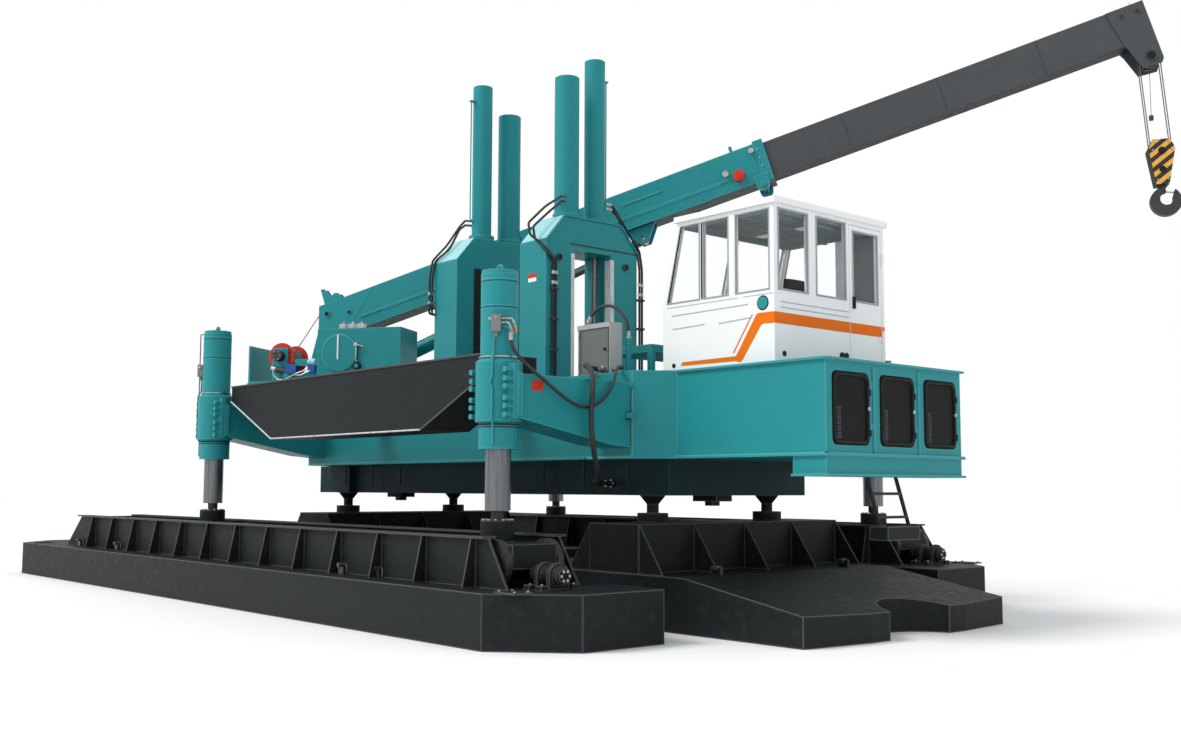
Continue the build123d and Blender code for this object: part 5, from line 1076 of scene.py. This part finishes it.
ALONG = (on_boom(1, 0, 0) - on_boom(0, 0, 0)).normalized()
UP = (on_boom(0, 1, 0) - on_boom(0, 0, 0)).normalized()
spots = [(at(-JACK_X + a, b, 2.944), Z) for a, b in around(24, 0.60)]
bolt_heads("pedestal_bolts", "machine", PLATED, spots, 0.018, 0.016)
centre = on_crane(-0.65, -1.148, 3.725)
# The cover's rim is a lighter teal all round: painted highlight on the rim.
bars("tank_cover_painted_highlight", "crane", LIGHT_TEAL, "teal_paint", (centre, centre - ACROSS * 0.008, 0.306), sides=56)
bars("tank_cover", "crane", TEAL, "teal_paint", (centre, centre - ACROSS * 0.014, 0.296), sides=56)
sight = bmesh.new()
turned_block(sight, on_crane(-0.668, -1.166, 3.815), (0.026, 0.014, 0.40), EAST, ACROSS)
finished(sight, "tank_sight_glass", "crane", WHITE)
spots = [(on_crane(-0.65 + a, -1.162, 3.725 + b), -ACROSS) for a, b in around(16, 0.278)]
bolt_heads("tank_cover_bolts", "crane", TEAL, spots, 0.009, 0.006)
for name, material, slot, end_n, wide in (("tank_port_ring", DARK, "charcoal_paint", -1.175, 0.066),
                                          ("tank_port_plug", TEAL, "teal_paint", -1.180, 0.034)):
    port = (on_crane(-0.335, -1.130, 3.505), on_crane(-0.335, end_n, 3.505), wide)
    bars(name, "crane", material, slot, port, sides=32)
valve = bmesh.new()
bar(valve, on_crane(-0.345, -1.130, 3.846), on_crane(-0.345, -1.200, 3.846), 0.034)
bar(valve, on_crane(-0.360, -1.190, 3.850), on_crane(-0.215, -1.190, 3.812), 0.011)
for s in (-0.66, -0.50, -0.34):
    turned_block(valve, on_crane(s, -0.98, 4.165), (0.10, 0.12, 0.085), EAST, ACROSS)
    bar(valve, on_crane(s, -0.98, 4.205), on_crane(s, -0.98, 4.245), 0.022)
for s in (-0.9, -0.55, -0.2):
    bar(valve, on_crane(s, -0.78, 4.120), on_crane(s, -0.78, 4.165), 0.040)
finished(valve, "tank_valves", "crane", PLATED)
routes = (
    ((-0.345, -1.165, 3.83), (-0.350, -1.165, 3.60), (-0.335, -1.150, 3.54)),
    ((-2.240, -0.420, 3.570), (-2.215, -0.435, 3.460), (-2.120, -0.455, 3.375), (-1.980, -0.500, 3.360),
     (-1.840, -0.540, 3.410), (-1.720, -0.555, 3.465), (-1.550, -0.560, 3.515)),
    ((-1.790, -0.520, 3.440), (-1.620, -0.580, 3.430), (-1.470, -0.560, 3.500)),
)
routes = [[on_crane(*spot) for spot in route] for route in routes]
pipes("crane_pipes", "crane", PLATED, 0.014, routes)

# One group of nodes winds the rope on the drum.
wrap_group, given = new_group(
    "rope_wraps",
    {"Start": "Geometry", "Turns": "Float", "Drum Radius": "Float", "Width": "Float", "Rope Radius": "Float",
     "Middle": "Vector", "Swing": "Vector"},
)
spiral = add(wrap_group, "GeometryNodeCurveSpiral", {
    "Resolution": 24, "Rotations": given["Turns"], "Start Radius": given["Drum Radius"],
    "End Radius": given["Drum Radius"], "Height": given["Width"],
})
strand = add(wrap_group, "GeometryNodeCurvePrimitiveCircle", {"Resolution": 7, "Radius": given["Rope Radius"]})
swept = add(wrap_group, "GeometryNodeCurveToMesh", {
    "Curve": spiral.outputs["Curve"], "Profile Curve": strand.outputs["Curve"], "Fill Caps": True,
})
laid = add(wrap_group, "GeometryNodeTransform", {
    "Geometry": swept.outputs["Mesh"], "Translation": given["Middle"], "Rotation": given["Swing"],
})
close_group(wrap_group, given, laid.outputs["Geometry"])
DRUM_S, DRUM_Z = -2.170, 3.790
wraps = {"Turns": 26.0, "Drum Radius": 0.1585, "Width": 0.460, "Rope Radius": 0.0085,
         "Middle": tuple(on_crane(DRUM_S, -0.230, DRUM_Z)), "Swing": (-math.pi / 2, 0.0, SWING)}
start = bpy.data.meshes.new("wrap_start")
made_by(wrap_group, "winch_rope_wraps", start, wraps, "drum", ROPE)
bearings = [
    (on_crane(DRUM_S, n, DRUM_Z), on_crane(DRUM_S, n + math.copysign(0.012, n), DRUM_Z), 0.085)
    for n in (-0.312, 0.312)
]
bars("winch_bearings", "crane", CAST, "wheel_iron", *bearings)
lead = (on_crane(-2.010, -0.120, 3.845), on_crane(-1.545, -0.120, 4.500), 0.0085)
bars("winch_rope_lead", "crane", ROPE, "rope_steel", lead, sides=8)
for name, material, slot, lumps in (
    ("winch_blue_valves", BLUE, "blue_paint",
     (((-1.830, -0.505, 3.545), (0.200, 0.12, 0.150)), ((-1.455, -0.505, 3.540), (0.130, 0.11, 0.110)))),
    ("winch_valve_bank", TEAL, "teal_paint",
     (((-1.640, -0.500, 3.650), (0.230, 0.110, 0.110)), ((-1.700, -0.460, 3.400), (0.600, 0.050, 0.140)))),
):
    steel = bmesh.new()
    for spot, size in lumps:
        turned_block(steel, on_crane(*spot), size, EAST, ACROSS)
    finished(steel, name, "crane", material)
for name, material, slot, start, end, wide in (
    ("winch_valve_barrel", PALE_TEAL, "teal_paint", (-1.530, -0.500, 3.655), (-1.395, -0.500, 3.655), 0.060),
    ("winch_accumulator", CAST, "wheel_iron", (-2.180, -0.400, 3.556), (-1.880, -0.400, 3.485), 0.052),
    ("winch_accumulator_end", PLATED, "rod_steel", (-2.270, -0.400, 3.577), (-2.178, -0.400, 3.556), 0.040),
):
    bars(name, "crane", material, slot, (on_crane(*start), on_crane(*end), wide), sides=32)
spots = [(on_crane(DRUM_S + a, -0.440, DRUM_Z + b), -ACROSS) for a, b in around(6, 0.072)]
bolt_heads("winch_motor_bolts", "crane", PLATED, spots, 0.010, 0.008)
trim, pin_ends, ridge_highlights = (bmesh.new() for _ in range(3))
for side in (-1, 1):
    n = side * 0.225
    for along, rise, wide in ((0.399, -0.103, 0.045), (0.003, -0.001, 0.062)):
        spot = on_boom(along, rise, n)
        bar(trim, spot, spot + ACROSS * side * 0.014, wide, sides=32)
        bar(pin_ends, spot, spot + ACROSS * side * 0.024, wide * 0.62, sides=32)
    bar(trim, on_boom(5.42, -0.030, n), on_boom(6.10, -0.030, n), 0.014, sides=10)
    bar(trim, on_boom(0.955, 0.173, n), on_boom(0.455, -0.231, n), 0.006, sides=8)
    # A pale teal bar along the step in the side plate: painted highlight on the ridge.
    bar(ridge_highlights, on_boom(0.98, -0.262, n), on_boom(7.02, -0.262, n), 0.013, sides=8)
    for along in (2.6, 4.7, 6.8):
        turned_block(trim, on_boom(along, -0.133, n + side * 0.003), (0.012, 0.006, 0.60), ALONG, ACROSS)
finished(trim, "boom_base_trim", "boom", TEAL)
finished(pin_ends, "boom_pin_ends", "boom", DARK)
finished(ridge_highlights, "boom_ridge_painted_highlight", "boom", LIGHT_TEAL)
# The downward faces of the boom base and of the extension get a darker paint: painted shade on the boom's
# underside.
second_paint("boom_base", PAINTED_SHADE_TEAL, lambda centre, normal: normal.dot(UP) < -0.9)
second_paint("boom_extension", CHARCOAL, lambda centre, normal: normal.dot(UP) < -0.9)


def bosses_across(name, body, material, slot, n, *rounds):
    steel = bmesh.new()
    for side in (-1, 1):
        for along, rise, reach, wide, sides in rounds:
            spot = on_boom(along, rise, side * n)
            bar(steel, spot, spot + ACROSS * side * reach, wide, sides=sides)
    finished(steel, name, body, material)


bosses_across("boom_collar_pins", "boom", PLATED, "rod_steel", 0.268,
              (7.622, 0.064, 0.030, 0.045, 32), (7.133, -0.142, 0.012, 0.050, 32))
bosses_across("boom_red_caps", "boom", RED, "red_paint", 0.228,
              (7.325, -0.241, 0.055, 0.090, 40), (7.325, -0.241, 0.070, 0.045, 24))
spots = [
    (on_boom(7.72, rise, side * 0.256), ACROSS * side) for side in (-1, 1) for rise in (-0.36, -0.22, -0.08, 0.06)
]
spots += [(on_boom(7.72, 0.206, n), UP) for n in (-0.15, 0.0, 0.15)]
bolt_heads("boom_collar_bolts", "boom", PLATED, spots, 0.014, 0.010)
seams = bmesh.new()
for side in (-1, 1):
    for along in (9.1, 10.6, 12.1):
        turned_block(seams, on_boom(along, -0.133, side * 0.196), (0.014, 0.004, 0.54), ALONG, ACROSS)
finished(seams, "extension_seams", "extension", CHARCOAL)
bosses_across("boom_head_bosses", "extension", CHARCOAL, "charcoal_paint", 0.220,
              (13.515, -0.688, 0.022, 0.075, 32), (13.33, 0.02, 0.022, 0.030, 32), (13.56, 0.02, 0.022, 0.030, 32))
beacon = bmesh.new()
spot = on_boom(13.50, 0.145, -0.10)
bar(beacon, spot, spot + up(0.03), 0.030)
bar(beacon, spot + up(0.03), spot + up(0.075), 0.026, 0.020)
finished(beacon, "boom_head_lamp", "extension", WHITE)
foot, eye = on_crane(-0.700, 0, 3.480), on_boom(5.560, -0.633, 0)
LUFF = (eye - foot).normalized()
bands = [(foot + LUFF * reach, foot + LUFF * (reach + 0.07), 0.140) for reach in (0.20, 3.26)]
bars("luff_bands", "luff_tube", TEAL, "teal_paint", *bands, sides=48)
gland = (foot + LUFF * 3.335, foot + LUFF * 3.351, 0.108)
bars("luff_gland", "luff_tube", PLATED, "rod_steel", gland, sides=48)
route = [
    foot + LUFF * reach - ACROSS * away
    for reach, away in ((0.32, 0.12), (0.32, 0.155), (1.6, 0.155), (3.18, 0.155), (3.18, 0.12))
]
pipes("luff_pipes", "luff_tube", TEAL, 0.011, [route])

# Hook block and falls
# A heavy block of two painted cheeks on four rope falls, striped yellow and black so that it is seen. The
# forged hook turns on a thrust bearing in its crosshead and closes with a sprung latch.
STRIPES, tree, shader = new_material("hook_block_stripes")
STRIPE_PITCH = 0.20
place = own_place(tree)
axes = add(tree, "ShaderNodeSeparateXYZ", {"Vector": place}).outputs


def sum_up(one, other, operation):
    return add(tree, "ShaderNodeMath", {0: one, 1: other}, operation=operation).outputs[0]


rise = sum_up(axes["Z"], 1.25, "MULTIPLY")
east = sum_up(axes["X"], -math.cos(SWING), "MULTIPLY")
north = sum_up(axes["Y"], -math.sin(SWING), "MULTIPLY")
total = sum_up(sum_up(east, north, "ADD"), rise, "ADD")
pitch = sum_up(total, 1 / STRIPE_PITCH, "MULTIPLY")
part = add(tree, "ShaderNodeMath", {0: pitch}, operation="FRACT").outputs[0]
yellow = ramp(tree, noise(tree, place, 12.0, 8.0), (0.62, 0.30, 0.035), (0.88, 0.46, 0.06))
striped = mixed(tree, sum_up(part, 0.5, "GREATER_THAN"), yellow, (0.012, 0.012, 0.012))
feed(tree, shader, {"Base Color": striped, "Roughness": 0.42})
repaint(STRIPES, "hook_block")
second_paint("hook_block", DARK, lambda centre, normal: abs(normal.dot(ACROSS)) < 0.7)
PIN_ALONG, PIN_DROP = 13.515, 0.688
pin_s = PIVOT_S + PIN_ALONG * math.cos(TILT) + PIN_DROP * math.sin(TILT)
pin_z = PIVOT_Z + PIN_ALONG * math.sin(TILT) - PIN_DROP * math.cos(TILT)
hook_s, hook_top = pin_s + 0.110, pin_z - 1.318 + 0.090
cheek_pins = bmesh.new()
for side in (-1, 1):
    for drop, wide in ((-0.17, 0.050), (-0.45, 0.045)):
        spot = on_crane(hook_s, side * 0.140, hook_top + drop)
        bar(cheek_pins, spot, spot + ACROSS * side * 0.016, wide, sides=32)
finished(cheek_pins, "hook_block_pins", "hook", DARK)
spots = [
    (on_crane(hook_s + s, side * 0.140, hook_top + drop), ACROSS * side)
    for side in (-1, 1)
    for s, drop in ((-0.09, -0.05), (0.09, -0.05), (-0.13, -0.16), (0.13, -0.16), (-0.07, -0.60), (0.07, -0.60))
]
bolt_heads("hook_block_bolts", "hook", PLATED, spots, 0.012, 0.010)
ring_s, ring_z = hook_s + 0.050, hook_top - 0.670 - 0.235
latch = (on_crane(ring_s - 0.050, 0, ring_z + 0.150), on_crane(ring_s + 0.135, 0, ring_z + 0.130), 0.012)
bars("hook_latch", "hook", PLATED, "rod_steel", latch)
line = bmesh.new()
fall = on_crane(pin_s - 0.02, -0.155, pin_z - 0.10)
bar(line, fall, fall - up(0.78), 0.004, sides=8)
bar(line, fall - up(0.78), fall - up(0.85), 0.032, sides=32)
finished(line, "hoist_limit_weight", "hook", CAST)
